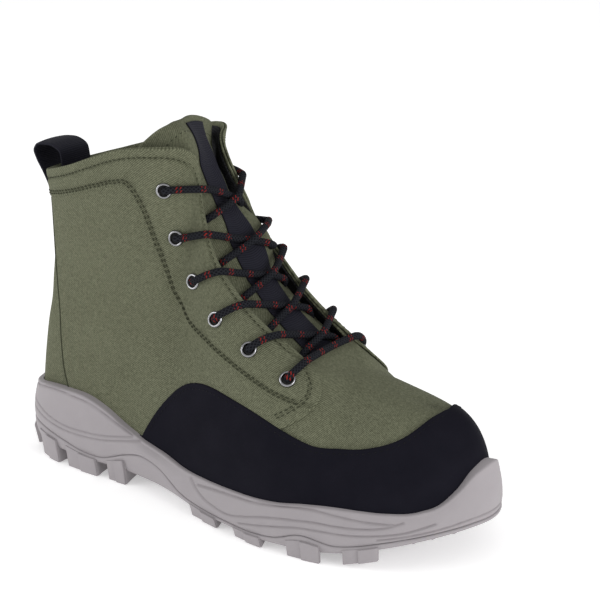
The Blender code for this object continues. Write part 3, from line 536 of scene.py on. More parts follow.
# Easing across the vamp's crest and round the facing's corner: the station that
# the corner lies at, how far it reaches and the share that it starts from.
CREST_PASSES = 60
CREST_REACH = 22
CORNER_PASSES = 70
CORNER_EASE = (0.430, 0.085, 0.50)

# How far the outer faces of the overlays lie over the canvas.
QUARTER_LIFT = 0.0010
FACING_LIFT = 0.0017
RAND_LIFT = 0.0019
SHEET_DEPTH = 0.0012
LINING_DEPTH = 0.0011


def unit(vectors):
    return vectors / np.maximum(np.linalg.norm(vectors, axis=-1, keepdims=True), 1e-12)


def upper_normals(points, side):
    normals = side * np.cross(np.gradient(points, axis=1), np.gradient(points, axis=0))
    normals[0, :, 1] = 0.0
    normals[-1, :, 1] = 0.0
    normals[FINE_STATIONS >= SEAM_STATION - 1e-6, -1, 1] = 0.0
    return unit(normals)


def upper_shape():
    """Both sides of the upper, eased across the crest of the vamp and round the facing's corner."""
    sides = {side: np.array([along(section_curve(s, side), FINE_SHARES) for s in FINE_STATIONS])
             for side in (LATERAL, MEDIAL)}
    last = len(FINE_SHARES) - 1
    crest = FINE_STATIONS >= SEAM_STATION - 1e-6
    line = np.concatenate([sides[LATERAL][crest], sides[MEDIAL][crest][:, -2::-1]], axis=1)
    for _ in range(CREST_PASSES):
        near = slice(last - CREST_REACH, last + CREST_REACH + 1)
        line[:, near] = (line[:, last - CREST_REACH - 1:last + CREST_REACH] + 2 * line[:, near]
                         + line[:, last - CREST_REACH + 1:last + CREST_REACH + 2]) / 4
    sides[LATERAL][crest] = line[:, :last + 1]
    sides[MEDIAL][crest] = line[:, :last - 1:-1]
    weight = np.exp(-((FINE_STATIONS - CORNER_EASE[0]) / CORNER_EASE[1]) ** 4)[:, None, None]
    weight = weight * np.clip((FINE_SHARES - CORNER_EASE[2]) / 0.15, 0, 1)[None, :, None]
    for points in sides.values():
        for _ in range(CORNER_PASSES):
            mean = (points[2:, 1:-1] + points[:-2, 1:-1] + points[1:-1, 2:] + points[1:-1, :-2]) / 4
            points[1:-1, 1:-1] += 0.8 * weight[1:-1, 1:-1] * (mean - points[1:-1, 1:-1])
    return sides


def upper_fields(side, points):
    """The canvas's surface: its points with the folds in it, normals and cloth coordinates."""
    normals = upper_normals(points, side)
    push = np.zeros(points.shape[:2])
    for start, start_share, end, end_share, depth, reach in FOLDS:
        angles = np.linspace(turn(start), turn(end), 14)
        rows = np.clip(np.searchsorted(FINE_ANGLES, angles), 0, len(FINE_ANGLES) - 1)
        columns = np.round(np.linspace(start_share, end_share, 14) * (len(FINE_SHARES) - 1)).astype(int)
        line = points[rows, columns]
        fade = np.sin(np.linspace(0.25, math.pi - 0.25, 14))
        layer = np.zeros(push.shape)
        for spot, part in zip(line, fade):
            near = np.sum((points - spot) ** 2, axis=-1)
            layer = np.maximum(layer, part * np.exp(-near / reach**2))
        push += depth * layer
    points = points - push[..., None] * normals
    middle = points[:, len(FINE_SHARES) // 2]
    around = arc_length(middle)
    lengths = np.sum(np.linalg.norm(np.diff(points, axis=1), axis=2), axis=1)
    cloth = np.stack(np.broadcast_arrays(side * around[:, None], lengths[:, None] * FINE_SHARES), axis=-1)
    return points, upper_normals(points, side), cloth


SURFACE = {side: upper_fields(side, points) for side, points in upper_shape().items()}
SECTION_LENGTH = {side: SURFACE[side][2][:, -1, 1] for side in (LATERAL, MEDIAL)}


def on_upper(side, stations, shares, lift=0.0):
    """Points over the canvas, its normals there and the cloth's own coordinates."""
    stations, shares, lift = np.broadcast_arrays(
        np.asarray(stations, float), np.asarray(shares, float), np.asarray(lift, float))
    at = np.interp(turn(stations), FINE_ANGLES, np.arange(len(FINE_ANGLES)))
    up = np.clip(shares, 0, 1) * (len(FINE_SHARES) - 1)
    i = np.minimum(at.astype(int), len(FINE_ANGLES) - 2)
    j = np.minimum(up.astype(int), len(FINE_SHARES) - 2)
    s, t = (at - i)[..., None], (up - j)[..., None]
    found = [(1 - s) * (1 - t) * field[i, j] + s * (1 - t) * field[i + 1, j]
             + (1 - s) * t * field[i, j + 1] + s * t * field[i + 1, j + 1] for field in SURFACE[side]]
    normals = unit(found[1])
    return found[0] + lift[..., None] * normals, normals, found[2]


def section_length(side, stations):
    """How long the sections are from the sole's edge to their top ends."""
    return np.interp(turn(stations), FINE_ANGLES, SECTION_LENGTH[side])


def mesh_from(name, verts, faces):
    mesh = bpy.data.meshes.new(name)
    mesh.from_pydata([tuple(v) for v in verts], [], faces)
    return mesh


def mesh_of(name, shape):
    mesh = bpy.data.meshes.new(name)
    shape.to_mesh(mesh)
    shape.free()
    return mesh


def tree_of(spots):
    tree = KDTree(len(spots))
    for k, spot in enumerate(spots):
        tree.insert(spot, k)
    tree.balance()
    return tree


def shell(name, patches, thickness, steps=3):
    """A sheet with a thickness to its inner side and a round edge."""
    shape = bmesh.new()
    layer = shape.loops.layers.uv.new("UVMap")
    # How far each point dips in, kept on the points so that the finishes paint shade there.
    mark = shape.verts.layers.float.new("hollow")
    for place, normals, cloth, *deep in patches:
        rows, across = place.shape[:2]
        verts = [shape.verts.new(p) for p in place.reshape(-1, 3)]
        if deep:
            for vert, value in zip(verts, deep[0].reshape(-1)):
                vert[mark] = value
        i, j = rows // 2, across // 2
        facing = np.cross(place[i, j + 1] - place[i, j], place[i + 1, j] - place[i, j])
        flip = float(np.dot(facing, normals[i, j])) < 0
        flat = cloth.reshape(-1, 2)
        for quad in grid_faces(rows, across):
            quad = quad[::-1] if flip else quad
            face = shape.faces.new([verts[k] for k in quad])
            for loop, k in zip(face.loops, quad):
                loop[layer].uv = flat[k]
    bmesh.ops.remove_doubles(shape, verts=shape.verts, dist=3e-5)
    bmesh.ops.dissolve_degenerate(shape, dist=1e-6, edges=shape.edges)
    shape.normal_update()
    faces = list(shape.faces)
    normal = {v: v.normal.copy() for v in shape.verts}
    inner = {v: shape.verts.new(v.co - thickness * normal[v]) for v in list(shape.verts)}
    edges, outward = [], {}
    for edge in shape.edges:
        if len(edge.link_faces) == 1:
            loop = edge.link_loops[0]
            a, b = loop.vert, loop.link_loop_next.vert
            away = (b.co - a.co).cross(normal[a] + normal[b])
            for vert in (a, b):
                outward[vert] = outward.get(vert, Vector((0, 0, 0))) + away.normalized()
            edges.append((a, b, loop[layer].uv.copy(), loop.link_loop_next[layer].uv.copy()))
    rings = {}
    for vert, away in outward.items():
        centre = vert.co - thickness / 2 * normal[vert]
        away = (away - away.dot(normal[vert]) * normal[vert]).normalized()
        ring = [vert]
        for step in range(1, steps + 1):
            angle = math.pi * step / (steps + 1)
            ring.append(shape.verts.new(
                centre + thickness / 2 * (math.cos(angle) * normal[vert] + math.sin(angle) * away)))
        rings[vert] = ring + [inner[vert]]
    for face in faces:
        loops = list(face.loops)[::-1]
        made = shape.faces.new([inner[loop.vert] for loop in loops])
        for new, old in zip(made.loops, loops):
            new[layer].uv = old[layer].uv
    for a, b, uv_a, uv_b in edges:
        for k in range(steps + 1):
            made = shape.faces.new([rings[b][k], rings[a][k], rings[a][k + 1], rings[b][k + 1]])
            for loop, uv in zip(made.loops, (uv_b, uv_a, uv_a, uv_b)):
                loop[layer].uv = uv
    return mesh_of(name, shape)


def linked(name, data):
    """A new object in the scene."""
    body = bpy.data.objects.new(name, data)
    bpy.context.scene.collection.objects.link(body)
    return body


def piece(mesh, material, slot, *nodes, sharp=None):
    """Puts a finished mesh in the scene, riding on the boot."""
    body = linked(mesh.name, mesh)
    mesh.materials.append(material)
    mesh.shade_smooth()
    if sharp is not None:
        mesh.set_sharp_from_angle(angle=math.radians(sharp))
    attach(body, "root")
    if nodes:
        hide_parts(*nodes)
    return body


# Materials

def finish(name, colour, roughness, **fixed):
    made = bpy.data.materials.new(name)
    made.use_nodes = True
    shader = made.node_tree.nodes["Principled BSDF"]
    shader.inputs["Base Color"].default_value = (*colour, 1.0)
    shader.inputs["Roughness"].default_value = roughness
    for socket, value in fixed.items():
        shader.inputs[socket.replace("_", " ")].default_value = value
    return made


def patterned(name, colour, roughness, **fixed):
    """A new material with its nodes, its places in metres and the cloth's two coordinates."""
    made = finish(name, colour, roughness, **fixed)
    tree = made.node_tree
    coordinates = add(tree, "ShaderNodeTexCoord")
    split = add(tree, "ShaderNodeSeparateXYZ", {0: coordinates.outputs["UV"]})
    return made, tree, coordinates.outputs["Object"], split.outputs[0], split.outputs[1]


def add(tree, kind, inputs=None, **settings):
    node = tree.nodes.new(kind)
    for key, value in settings.items():
        setattr(node, key, value)
    for socket, value in (inputs or {}).items():
        if isinstance(value, bpy.types.NodeSocket):
            tree.links.new(value, node.inputs[socket])
        else:
            node.inputs[socket].default_value = value
    return node


def calc(tree, operation, *values, clamp=False):
    inputs = dict(enumerate(values))
    return add(tree, "ShaderNodeMath", inputs, operation=operation, use_clamp=clamp).outputs[0]


def noise(tree, vector, scale, detail=2.0, roughness=0.5):
    return add(tree, "ShaderNodeTexNoise", {"Vector": vector, "Scale": scale, "Detail": detail,
                                           "Roughness": roughness}).outputs["Fac"]


def shade(tree, low, high, factor):
    """A colour between two, by a factor from 0 to 1."""
    low = low if isinstance(low, bpy.types.NodeSocket) else (*low, 1.0)
    return add(tree, "ShaderNodeMix", {0: factor, 6: low, 7: (*high, 1.0)}, data_type="RGBA").outputs[2]


def wave(tree, value, period):
    """0 to 1 and back once for each period of a length."""
    turned = calc(tree, "MULTIPLY", value, 2 * math.pi / period)
    return calc(tree, "MULTIPLY_ADD", calc(tree, "SINE", turned), 0.5, 0.5)


def drive(tree, socket, value):
    tree.links.new(value, tree.nodes["Principled BSDF"].inputs[socket])


def relief(tree, height, distance):
    """Bumps of a height of 0 to 1 and a real depth in metres."""
    bump = add(tree, "ShaderNodeBump", {"Height": height, "Strength": 1.0, "Distance": distance})
    drive(tree, "Normal", bump.outputs[0])


def hollow_shade(tree):
    """The mark that a piece's points carry where they dip in, from 0 to 1, by which the finishes paint shade
    into seams and grooves.
    """
    return add(tree, "ShaderNodeAttribute", attribute_name="hollow").outputs["Fac"]


def canvas_finish(name, dark, light, twill=0.0013, depth=0.00032):
    """Twill: slanting ribs broken into threads, a little uneven in colour, with painted shade along the
    stitched seams.
    """
    made, tree, place, u, v = patterned(name, light, 0.92, Specular_IOR_Level=0.20)
    slant = calc(tree, "ADD", u, v)
    wobble = noise(tree, place, 420.0, 2.0)
    ribs = wave(tree, calc(tree, "MULTIPLY_ADD", wobble, 0.0006, slant), twill)
    threads = wave(tree, calc(tree, "SUBTRACT", u, v), twill * 0.62)
    fibres = noise(tree, place, 1500.0, 3.0, 0.6)
    patches = noise(tree, place, 26.0, 3.0, 0.5)
    height = calc(tree, "ADD", calc(tree, "MULTIPLY", ribs, 0.55), calc(tree, "MULTIPLY", threads, 0.20))
    height = calc(tree, "MULTIPLY_ADD", fibres, 0.45, height)
    relief(tree, height, depth)
    grains = noise(tree, place, 760.0, 2.0, 0.6)
    tone = calc(tree, "MULTIPLY_ADD", ribs, 0.52, calc(tree, "MULTIPLY", threads, 0.20))
    tone = calc(tree, "MULTIPLY_ADD", fibres, 0.70, tone)
    tone = calc(tree, "MULTIPLY_ADD", grains, 1.00, tone)
    tone = calc(tree, "MULTIPLY_ADD", patches, 0.22, tone)
    # Painted shade: the canvas is darker where the seams pull the facing in.
    tone = calc(tree, "MULTIPLY_ADD", hollow_shade(tree), -0.24, tone)
    drive(tree, "Base Color", shade(tree, dark, light, calc(tree, "SUBTRACT", tone, 0.83, clamp=True)))
    return made


def rand_finish():
    """Matte coated fabric with a fine even grain."""
    made, tree, place, _, _ = patterned("rand_black", (0.007, 0.007, 0.011), 0.80, Specular_IOR_Level=0.05)
    grain = noise(tree, place, 2600.0, 2.0, 0.6)
    broad = noise(tree, place, 240.0, 2.0, 0.5)
    relief(tree, calc(tree, "MULTIPLY_ADD", broad, 0.35, grain), 0.00009)
    drive(tree, "Base Color", shade(tree, (0.0045, 0.0044, 0.0078), (0.0095, 0.0090, 0.0140),
                                    noise(tree, place, 60.0, 3.0)))
    return made


def rubber_finish():
    """Moulded rubber with a faint mottled skin, and painted shade in the midsole's grooves."""
    made, tree, place, _, _ = patterned("grey_rubber", (0.36, 0.34, 0.35), 0.60, Specular_IOR_Level=0.20)
    skin = noise(tree, place, 1400.0, 3.0, 0.6)
    flow = noise(tree, place, 90.0, 3.0, 0.5)
    relief(tree, calc(tree, "MULTIPLY_ADD", flow, 0.5, skin), 0.00007)
    plain = shade(tree, (0.275, 0.254, 0.265), (0.325, 0.302, 0.314),
                  calc(tree, "MULTIPLY_ADD", skin, 0.3, calc(tree, "MULTIPLY", flow, 0.7)))
    # Painted shade: the colour goes towards a dark grey as deep as the midsole's grooves lie.
    drive(tree, "Base Color", shade(tree, plain, (0.130, 0.115, 0.120),
                                    calc(tree, "MULTIPLY", hollow_shade(tree), 0.32)))
    rough = calc(tree, "MULTIPLY_ADD", flow, 0.16, 0.47)
    drive(tree, "Roughness", rough)
    return made


def webbing_finish(name, dark, light, rib=0.0011):
    """Woven tape: fine ribs across it and a herringbone of threads."""
    made, tree, place, u, v = patterned(name, dark, 0.75, Specular_IOR_Level=0.15)
    ribs = wave(tree, v, rib)
    bend = calc(tree, "ABSOLUTE", calc(tree, "SUBTRACT", wave(tree, u, 0.006), 0.5))
    threads = wave(tree, calc(tree, "MULTIPLY_ADD", bend, 0.0016, v), rib * 0.5)
    fibres = noise(tree, place, 1800.0, 2.0)
    height = calc(tree, "MULTIPLY_ADD", fibres, 0.3, calc(tree, "MULTIPLY_ADD", threads, 0.3, ribs))
    relief(tree, height, 0.00016)
    drive(tree, "Base Color", shade(tree, dark, light, calc(tree, "MULTIPLY", height, 0.6, clamp=True)))
    return made


def metal_finish():
    made, tree, place, _, _ = patterned("eyelet_metal", (0.29, 0.29, 0.30), 0.22, Metallic=1.0)
    marks = noise(tree, place, 900.0, 2.0)
    relief(tree, marks, 0.00003)
    rough = calc(tree, "MULTIPLY_ADD", marks, 0.16, 0.13)
    drive(tree, "Roughness", rough)
    return made


BRAID_TURN = 0.0130
BRAID_PERIOD = 0.00217
FLECK_GROUP = 0.0135
FLECK_STEP = 0.0021
FLECK_SLANT = 0.0013


def lace_finish():
    """Braided cord: crossing strands, with pairs of short red flecks along it."""
    made, tree, place, u, v = patterned("lace_cord", (0.011, 0.012, 0.016), 0.85, Specular_IOR_Level=0.08)
    around = calc(tree, "MULTIPLY", v, BRAID_TURN)
    one = wave(tree, calc(tree, "ADD", u, around), BRAID_PERIOD)
    two = wave(tree, calc(tree, "SUBTRACT", u, around), BRAID_PERIOD)
    fibres = noise(tree, place, 2200.0, 2.0)
    braid = calc(tree, "MAXIMUM", one, two)
    relief(tree, calc(tree, "MULTIPLY_ADD", fibres, 0.25, braid), 0.00030)
    base = shade(tree, (0.003, 0.003, 0.005), (0.017, 0.018, 0.022), calc(tree, "POWER", braid, 2.0))
    group = calc(tree, "LESS_THAN", calc(tree, "FRACT", calc(tree, "DIVIDE", u, FLECK_GROUP)), 0.27)
    ring = calc(tree, "FRACT", calc(tree, "MULTIPLY", v, 6.0))
    slanted = calc(tree, "MULTIPLY_ADD", ring, FLECK_SLANT, u)
    dash = calc(tree, "LESS_THAN", calc(tree, "FRACT", calc(tree, "DIVIDE", slanted, FLECK_STEP)), 0.30)
    short = calc(tree, "LESS_THAN", calc(tree, "ABSOLUTE", calc(tree, "SUBTRACT", ring, 0.5)), 0.36)
    mask = calc(tree, "MULTIPLY", calc(tree, "MULTIPLY", group, dash), short)
    drive(tree, "Base Color", shade(tree, base, (0.23, 0.016, 0.011), calc(tree, "MULTIPLY", mask, 0.9)))
    return made


def lining_finish():
    """Black spacer mesh: rows of small round openings."""
    made, tree, _, u, v = patterned("lining_mesh", (0.012, 0.012, 0.014), 0.90, Specular_IOR_Level=0.15)
    holes = calc(tree, "MULTIPLY", wave(tree, u, 0.0016), wave(tree, v, 0.0016))
    relief(tree, holes, 0.00035)
    drive(tree, "Base Color", shade(tree, (0.018, 0.018, 0.020), (0.004, 0.004, 0.005), holes))
    return made


def thread_finish(name, dark, light):
    made, tree, place, _, _ = patterned(name, dark, 0.80, Specular_IOR_Level=0.15)
    twist = noise(tree, place, 3000.0, 2.0)
    relief(tree, twist, 0.00008)
    drive(tree, "Base Color", shade(tree, dark, light, twist))
    return made


def foam_finish():
    made, tree, place, _, _ = patterned("insole_foam", (0.05, 0.05, 0.05), 0.9)
    cells = add(tree, "ShaderNodeTexVoronoi", {"Vector": place, "Scale": 700.0}).outputs["Distance"]
    relief(tree, cells, 0.0003)
    drive(tree, "Base Color", shade(tree, (0.020, 0.020, 0.022), (0.055, 0.055, 0.058), cells))
    return made


CANVAS = canvas_finish("canvas", (0.050, 0.053, 0.030), (0.182, 0.190, 0.124))
TONGUE_CANVAS = canvas_finish("tongue_canvas", (0.046, 0.049, 0.028), (0.165, 0.172, 0.112), 0.0011)
RAND = rand_finish()
RUBBER = rubber_finish()
WEBBING = webbing_finish("black_webbing", (0.005, 0.005, 0.009), (0.016, 0.016, 0.026))
METAL = metal_finish()
LACE = lace_finish()
LINING = lining_finish()
THREAD = thread_finish("olive_thread", (0.018, 0.020, 0.011), (0.056, 0.061, 0.037))
BLACK_THREAD = thread_finish("black_thread", (0.002, 0.002, 0.003), (0.007, 0.007, 0.010))
FOAM = foam_finish()
# Painted shade for the inside of the eyelets' holes.
HOLE_SHADE = finish("eyelet_hole_shade", (0.004, 0.004, 0.004), 0.9)

# The front edge of the quarter over the vamp, and the back edge at the seam by
# the heel: share of the section, station.
FRONT_LINE = (
    # share, station
    (0.00, 0.600),
    (0.35, 0.640),
    (0.51, 0.678),
    (0.60, 0.710),
    (0.69, 0.734),
    (0.79, 0.742),
    (0.87, 0.734),
    (0.94, 0.714),
    (0.98, 0.690),
    (1.00, 0.668),
)
BACK_LINE = (
    # share, station
    (0.00, 0.172),
    (0.13, 0.150),
    (0.19, 0.136),
    (0.28, 0.122),
    (0.41, 0.104),
    (0.55, 0.078),
    (0.61, 0.066),
    (0.75, 0.046),
    (0.92, 0.030),
    (1.00, 0.024),
)
# The lower edge of the collar band and facing.
BAND_LINE = (
    # station, share
    (0.000, 0.905),
    (0.038, 0.900),
    (0.083, 0.895),
    (0.144, 0.893),
    (0.218, 0.890),
    (0.262, 0.888),
    (0.284, 0.880),
    (0.298, 0.845),
    (0.314, 0.780),
    (0.330, 0.700),
    (0.346, 0.640),
    (0.375, 0.548),
    (0.397, 0.528),
    (0.426, 0.525),
    (0.468, 0.552),
    (0.518, 0.608),
    (0.574, 0.643),
    (0.635, 0.660),
    (0.670, 0.663),
    (0.700, 0.668),
    (0.742, 0.680),
)
# The rand's top edge.
RAND_LINE = (
    # station, share
    (0.333, 0.030),
    (0.343, 0.078),
    (0.362, 0.142),
    (0.375, 0.180),
    (0.397, 0.235),
    (0.426, 0.296),
    (0.468, 0.365),
    (0.522, 0.448),
    (0.577, 0.490),
    (0.635, 0.515),
    (0.692, 0.502),
    (0.734, 0.480),
    (0.763, 0.458),
    (0.782, 0.449),
    (0.808, 0.458),
    (0.853, 0.498),
    (0.904, 0.592),
    (0.949, 0.755),
    (0.978, 0.830),
    (1.000, 0.850),
)
FACING_START = 0.0004
EDGE_STATION = 0.742
EDGE_ROOT = 0.60
VAMP_START = 0.710
VAMP_UP = (0.35, 0.0, 1.0)
VAMP_COUNT = 25
CLOTH_STEP = 0.024
LINING_GAP = 0.0005
LINING_TOP = 0.984

# How far the seams lie from the facing's free and lower edges, how deep their
# stitches pull it in, and how far that reaches to each side.
RIM_SEAM = 0.0049
SECOND_SEAM = 0.0066
BAND_SEAM = 0.0020
BAND_ROWS = (0.0011, 0.0028)
BAND_STEPS = np.linspace(0.0, EDGE_STATION, 400)
SEAM_DEPTH = 0.00045
RIM_REACH = 0.0011
BAND_REACH = 0.0017


def rows_between(start, end, step):
    """Stations from one to another, evenly far apart round the outline."""
    angles = np.linspace(turn(start), turn(end), max(2, round(float(turn(end) - turn(start)) / step)))
    return (1 - np.cos(angles)) / 2


def whole_upper(lift, top, step, count):
    """Both sides of the upper from its foot up to a share of each section."""
    patches = []
    stations = section_stations(step)
    for side in (LATERAL, MEDIAL):
        reach = np.where(stations < SEAM_STATION - 1e-6, top, 1.0)
        shares = np.linspace(0.0, 1.0, count)[None, :] * reach[:, None]
        patches.append(on_upper(side, stations[:, None], shares, lift))
    return patches


def vamp_bridge(station, count):
    """Points of the vamp from one facing's edge over to the other."""
    near, far = (list(on_upper(side, station, np.array([0.90, 0.95, 1.0]))[0]) for side in (LATERAL, MEDIAL))
    if station >= SEAM_STATION - 1e-6:
        return np.array([near[2]] * count)
    curve = smooth_line(near + far[::-1])
    line = sampled(curve, curve[:, 1], np.linspace(near[2][1], far[2][1], count))
    line[0], line[-1] = near[2], far[2]
    return line


def vamp_patch(step):
    """The vamp's part between the facings, above their lower ends."""
    stations = [s for s in section_stations(step) if VAMP_START <= s <= SEAM_STATION + 1e-6]
    place = np.array([vamp_bridge(s, VAMP_COUNT) for s in stations])
    normals = np.broadcast_to(unit(np.array(VAMP_UP)), place.shape)
    base = on_upper(LATERAL, np.array(stations)[:, None], 1.0)[2]
    across = place[..., 1] - place[:, :1, 1]
    cloth = np.stack(np.broadcast_arrays(base[..., 0], base[..., 1] + across), axis=-1)
    return place, normals, cloth


def dress_upper():
    patches = whole_upper(0.0, 1.0, CLOTH_STEP, 84) + [vamp_patch(CLOTH_STEP)]
    piece(shell("upper_canvas", patches, SHEET_DEPTH), CANVAS, "canvas", "upper")
    lining = whole_upper(-SHEET_DEPTH - LINING_GAP, LINING_TOP, CLOTH_STEP, 46)
    ridge_end = on_upper(LATERAL, 1.0, 1.0)[0]  # the lining bends down where the two sides meet
    for place, _, _ in lining:
        away = np.linalg.norm(place - ridge_end, axis=2)
        place[..., 2] -= 0.0035 * np.exp(-(away / 0.010) ** 2)
    piece(shell("upper_lining", lining, LINING_DEPTH), LINING, "insole_foam")


def quarter_patch(side):
    a = np.linspace(0.0, 1.0, 150)[:, None]
    b = np.linspace(0.0, 1.0, 58)[None, :]
    stations = 0.05 + a * 0.65 + 0 * b
    for _ in range(6):
        top = np.minimum(through(BAND_LINE, stations) + 0.05, 0.95)
        shares = 0.02 + b * (top - 0.02)
        back, front = turn(through(BACK_LINE, shares)), turn(through(FRONT_LINE, shares))
        stations = (1 - np.cos(back + a * (front - back))) / 2
    return on_upper(side, stations, shares, QUARTER_LIFT)


def facing_point(station, share):
    """Sweeps a place on the facing back to the curved front edge of its tab."""
    reach = np.clip((station - EDGE_ROOT) / (EDGE_STATION - EDGE_ROOT), 0, 1)
    return station + (through(FRONT_LINE, share) - EDGE_STATION) * reach


def seam_hollow(side, stations, shares):
    """How deep the stitches pull the facing in, from 0 to 1."""
    length = section_length(side, stations)
    rim = np.abs((1 - shares) * length - RIM_SEAM)
    front = np.abs((through(FRONT_LINE, shares) - stations) * SOLE_LENGTH - RIM_SEAM - 0.0008)
    rim = np.where(stations > 0.64, np.minimum(rim, front), rim)
    slope = np.gradient(through(BAND_LINE, BAND_STEPS), BAND_STEPS) * 0.2 / SOLE_LENGTH
    slant = np.sqrt(1 + np.interp(stations, BAND_STEPS, slope) ** 2)
    band = np.abs((shares - through(BAND_LINE, stations)) * length / slant - BAND_SEAM)
    return np.maximum(np.exp(-(rim / RIM_REACH) ** 2), np.exp(-(band / BAND_REACH) ** 2))


def facing_patch(side):
    stations = np.concatenate([rows_between(FACING_START, 0.27, 0.022)[:-1],
                               rows_between(0.27, 0.41, 0.009)[:-1],
                               rows_between(0.41, EDGE_STATION, 0.014)])[:, None]
    low = through(BAND_LINE, stations)
    shares = low + (1 - low) * np.linspace(0.0, 1.0, 84)[None, :]
    stations = facing_point(stations, shares)
    hollow = seam_hollow(side, stations, shares)
    # The hollow that sinks the facing along its seams is also kept on its points, and it darkens the canvas
    # there as painted shade.
    return (*on_upper(side, stations, shares, FACING_LIFT - SEAM_DEPTH * hollow), hollow)


def dress_overlays():
    for side, name in BOTH_SIDES:
        piece(shell(f"quarter_{name}", [quarter_patch(side)], QUARTER_LIFT - 0.0002), CANVAS, "canvas")
        piece(shell(f"facing_band_{name}", [facing_patch(side)], FACING_LIFT - 0.0004), CANVAS, "canvas",
              f"facing_{name}")


# The rand's top edge is eased over this many of the steps along the boot, and
# it never comes nearer than this share to its foot.
RAND_STEPS = 500
RAND_EASE = 61
RAND_PAD = 40
RAND_LEAST = 0.004
RAND_TUCK = 0.0012


def rand_top(side, stations, foot):
    """The rand's top edge, its height over the foot eased along the boot."""
    length = section_length(side, stations)
    steps = np.linspace(RAND_LINE[0][0], 1.0, RAND_STEPS)
    reach = through(RAND_LINE, steps) * section_length(side, steps)
    padded = np.concatenate([2 * reach[0] - reach[RAND_PAD:0:-1], reach, reach[-2:-2 - RAND_PAD:-1]])
    kernel = np.hanning(RAND_EASE) / np.sum(np.hanning(RAND_EASE))
    eased = np.convolve(padded, kernel, mode="same")[RAND_PAD:-RAND_PAD]
    return np.maximum(np.interp(stations, steps, eased) / length, foot + RAND_LEAST)


def dress_rand():
    stations = np.concatenate([rows_between(RAND_LINE[0][0], 0.60, 0.009)[:-1],
                               rows_between(0.60, 1.0, 0.016)])
    patches = []
    for side in (LATERAL, MEDIAL):
        foot = np.array([share_at_height(s, side, float(rim_height(s)) - RAND_TUCK) for s in stations])
        top = rand_top(side, stations, foot)
        shares = foot[:, None] + (top - foot)[:, None] * np.linspace(0.0, 1.0, 46)[None, :]
        patches.append(on_upper(side, stations[:, None], shares, RAND_LIFT))
    piece(shell("rand_cloth", patches, RAND_LIFT - 0.0002), RAND, "rand_black", "rand")


# Stitches

STITCH_LENGTH = 0.0019
STITCH_GAP = 0.0013
STITCH_RADIUS = 0.00028
STITCH_SIDES = 6
RAND_SEAM = 0.0020
# A thin dark cord along the quarter's back edge at the heel seam, painted shadow for the shade line at that
# edge: its radius and how far it lies from the edge.
HEEL_SHADOW_CORD = 0.00045
HEEL_INSET = 0.0006


def stitch_mesh(name, lines):
    """Short raised stitches along lines on the cloth."""
    verts, faces = [], []
    steps = np.array([0.0, 0.18, 0.5, 0.82, 1.0])
    width = np.array([0.40, 0.90, 1.0, 0.90, 0.40])
    lifts = np.array([-1.0, -0.15, 0.15, -0.15, -1.0]) * STITCH_RADIUS
    sides = STITCH_SIDES
    for points, normals in lines:
        arc = arc_length(points)
        for begin in np.arange(STITCH_GAP, arc[-1] - STITCH_LENGTH, STITCH_LENGTH + STITCH_GAP):
            at = begin + steps * STITCH_LENGTH
            line = sampled(points, arc, at)
            normal = unit(sampled(normals, arc, at[2])[0])
            line = line + lifts[:, None] * normal
            tangent = unit(line[-1] - line[0])
            across = unit(np.cross(tangent, normal))
            base = len(verts)
            for centre, wide in zip(line, width):
                for k in range(sides):
                    angle = 2 * math.pi * k / sides
                    verts.append(centre + STITCH_RADIUS * wide * (
                        math.cos(angle) * across * 1.15 + math.sin(angle) * normal))
            faces += ring_faces(len(steps), sides, base)
            faces.append(tuple(base + k for k in reversed(range(sides))))
            faces.append(tuple(base + (len(steps) - 1) * sides + k for k in range(sides)))
    mesh = mesh_from(name, verts, faces)
    mesh.update()
    return mesh


def seam(side, stations, shares, lift):
    points, normals, _ = on_upper(side, stations, shares, lift)
    return points, normals


def beside(side, stations, shares, away):
    """A line moved sideways over the cloth, to the left of the way it runs."""
    length = section_length(side, stations)
    run, rise = np.gradient(stations * SOLE_LENGTH), np.gradient(shares * length)
    size = np.hypot(run, rise)
    return stations - away * rise / size / SOLE_LENGTH, shares + away * run / size / length


def dress_stitches():
    olive, black = [], []
    for side, name in BOTH_SIDES:
        rim = np.concatenate([rows_between(0.03, 0.33, 0.01)[:-1], rows_between(0.33, 0.664, 0.006)])
        tab = np.linspace(1.0, 0.50, 120)
        stations = np.concatenate([rim, through(FRONT_LINE, tab)])
        shares = np.concatenate([np.ones(len(rim)), tab])
        for away, first in ((RIM_SEAM, 0), (SECOND_SEAM, len(rim) + 10)):
            line = beside(side, stations, shares, -away)
            lift = np.full(len(line[1]), FACING_LIFT - 0.0002)
            olive.append(seam(side, line[0][first:], line[1][first:], lift[first:]))
        band = np.concatenate([rows_between(0.024, 0.27, 0.01)[:-1],
                               rows_between(0.27, 0.40, 0.003)[:-1],
                               rows_between(0.40, 0.715, 0.008)])
        low = through(BAND_LINE, band)
        for away in BAND_ROWS:
            line = beside(side, facing_point(band, low), low, away)
            olive.append(seam(side, *line, FACING_LIFT))
        # A dark cord along the heel seam: the seam is real, and the dark line that the cord draws is painted
        # shadow at the quarter's raised edge.
        heel = np.linspace(0.06, 0.885, 120)
        path = on_upper(side, *beside(side, through(BACK_LINE, heel), heel, -HEEL_INSET), QUARTER_LIFT)[0]
        piece(tube(f"heel_seam_shadow_{name}", path, HEEL_SHADOW_CORD, 8, 0.0), THREAD, "canvas")
        edge = rows_between(0.346, 0.985, 0.006)
        black.append(seam(side, *beside(side, edge, rand_top(side, edge, 0.0), -RAND_SEAM), RAND_LIFT))
    piece(stitch_mesh("stitches_canvas", olive), THREAD, "canvas")
    piece(stitch_mesh("stitches_rand", black), BLACK_THREAD, "rand_black")


# Tongue and strip

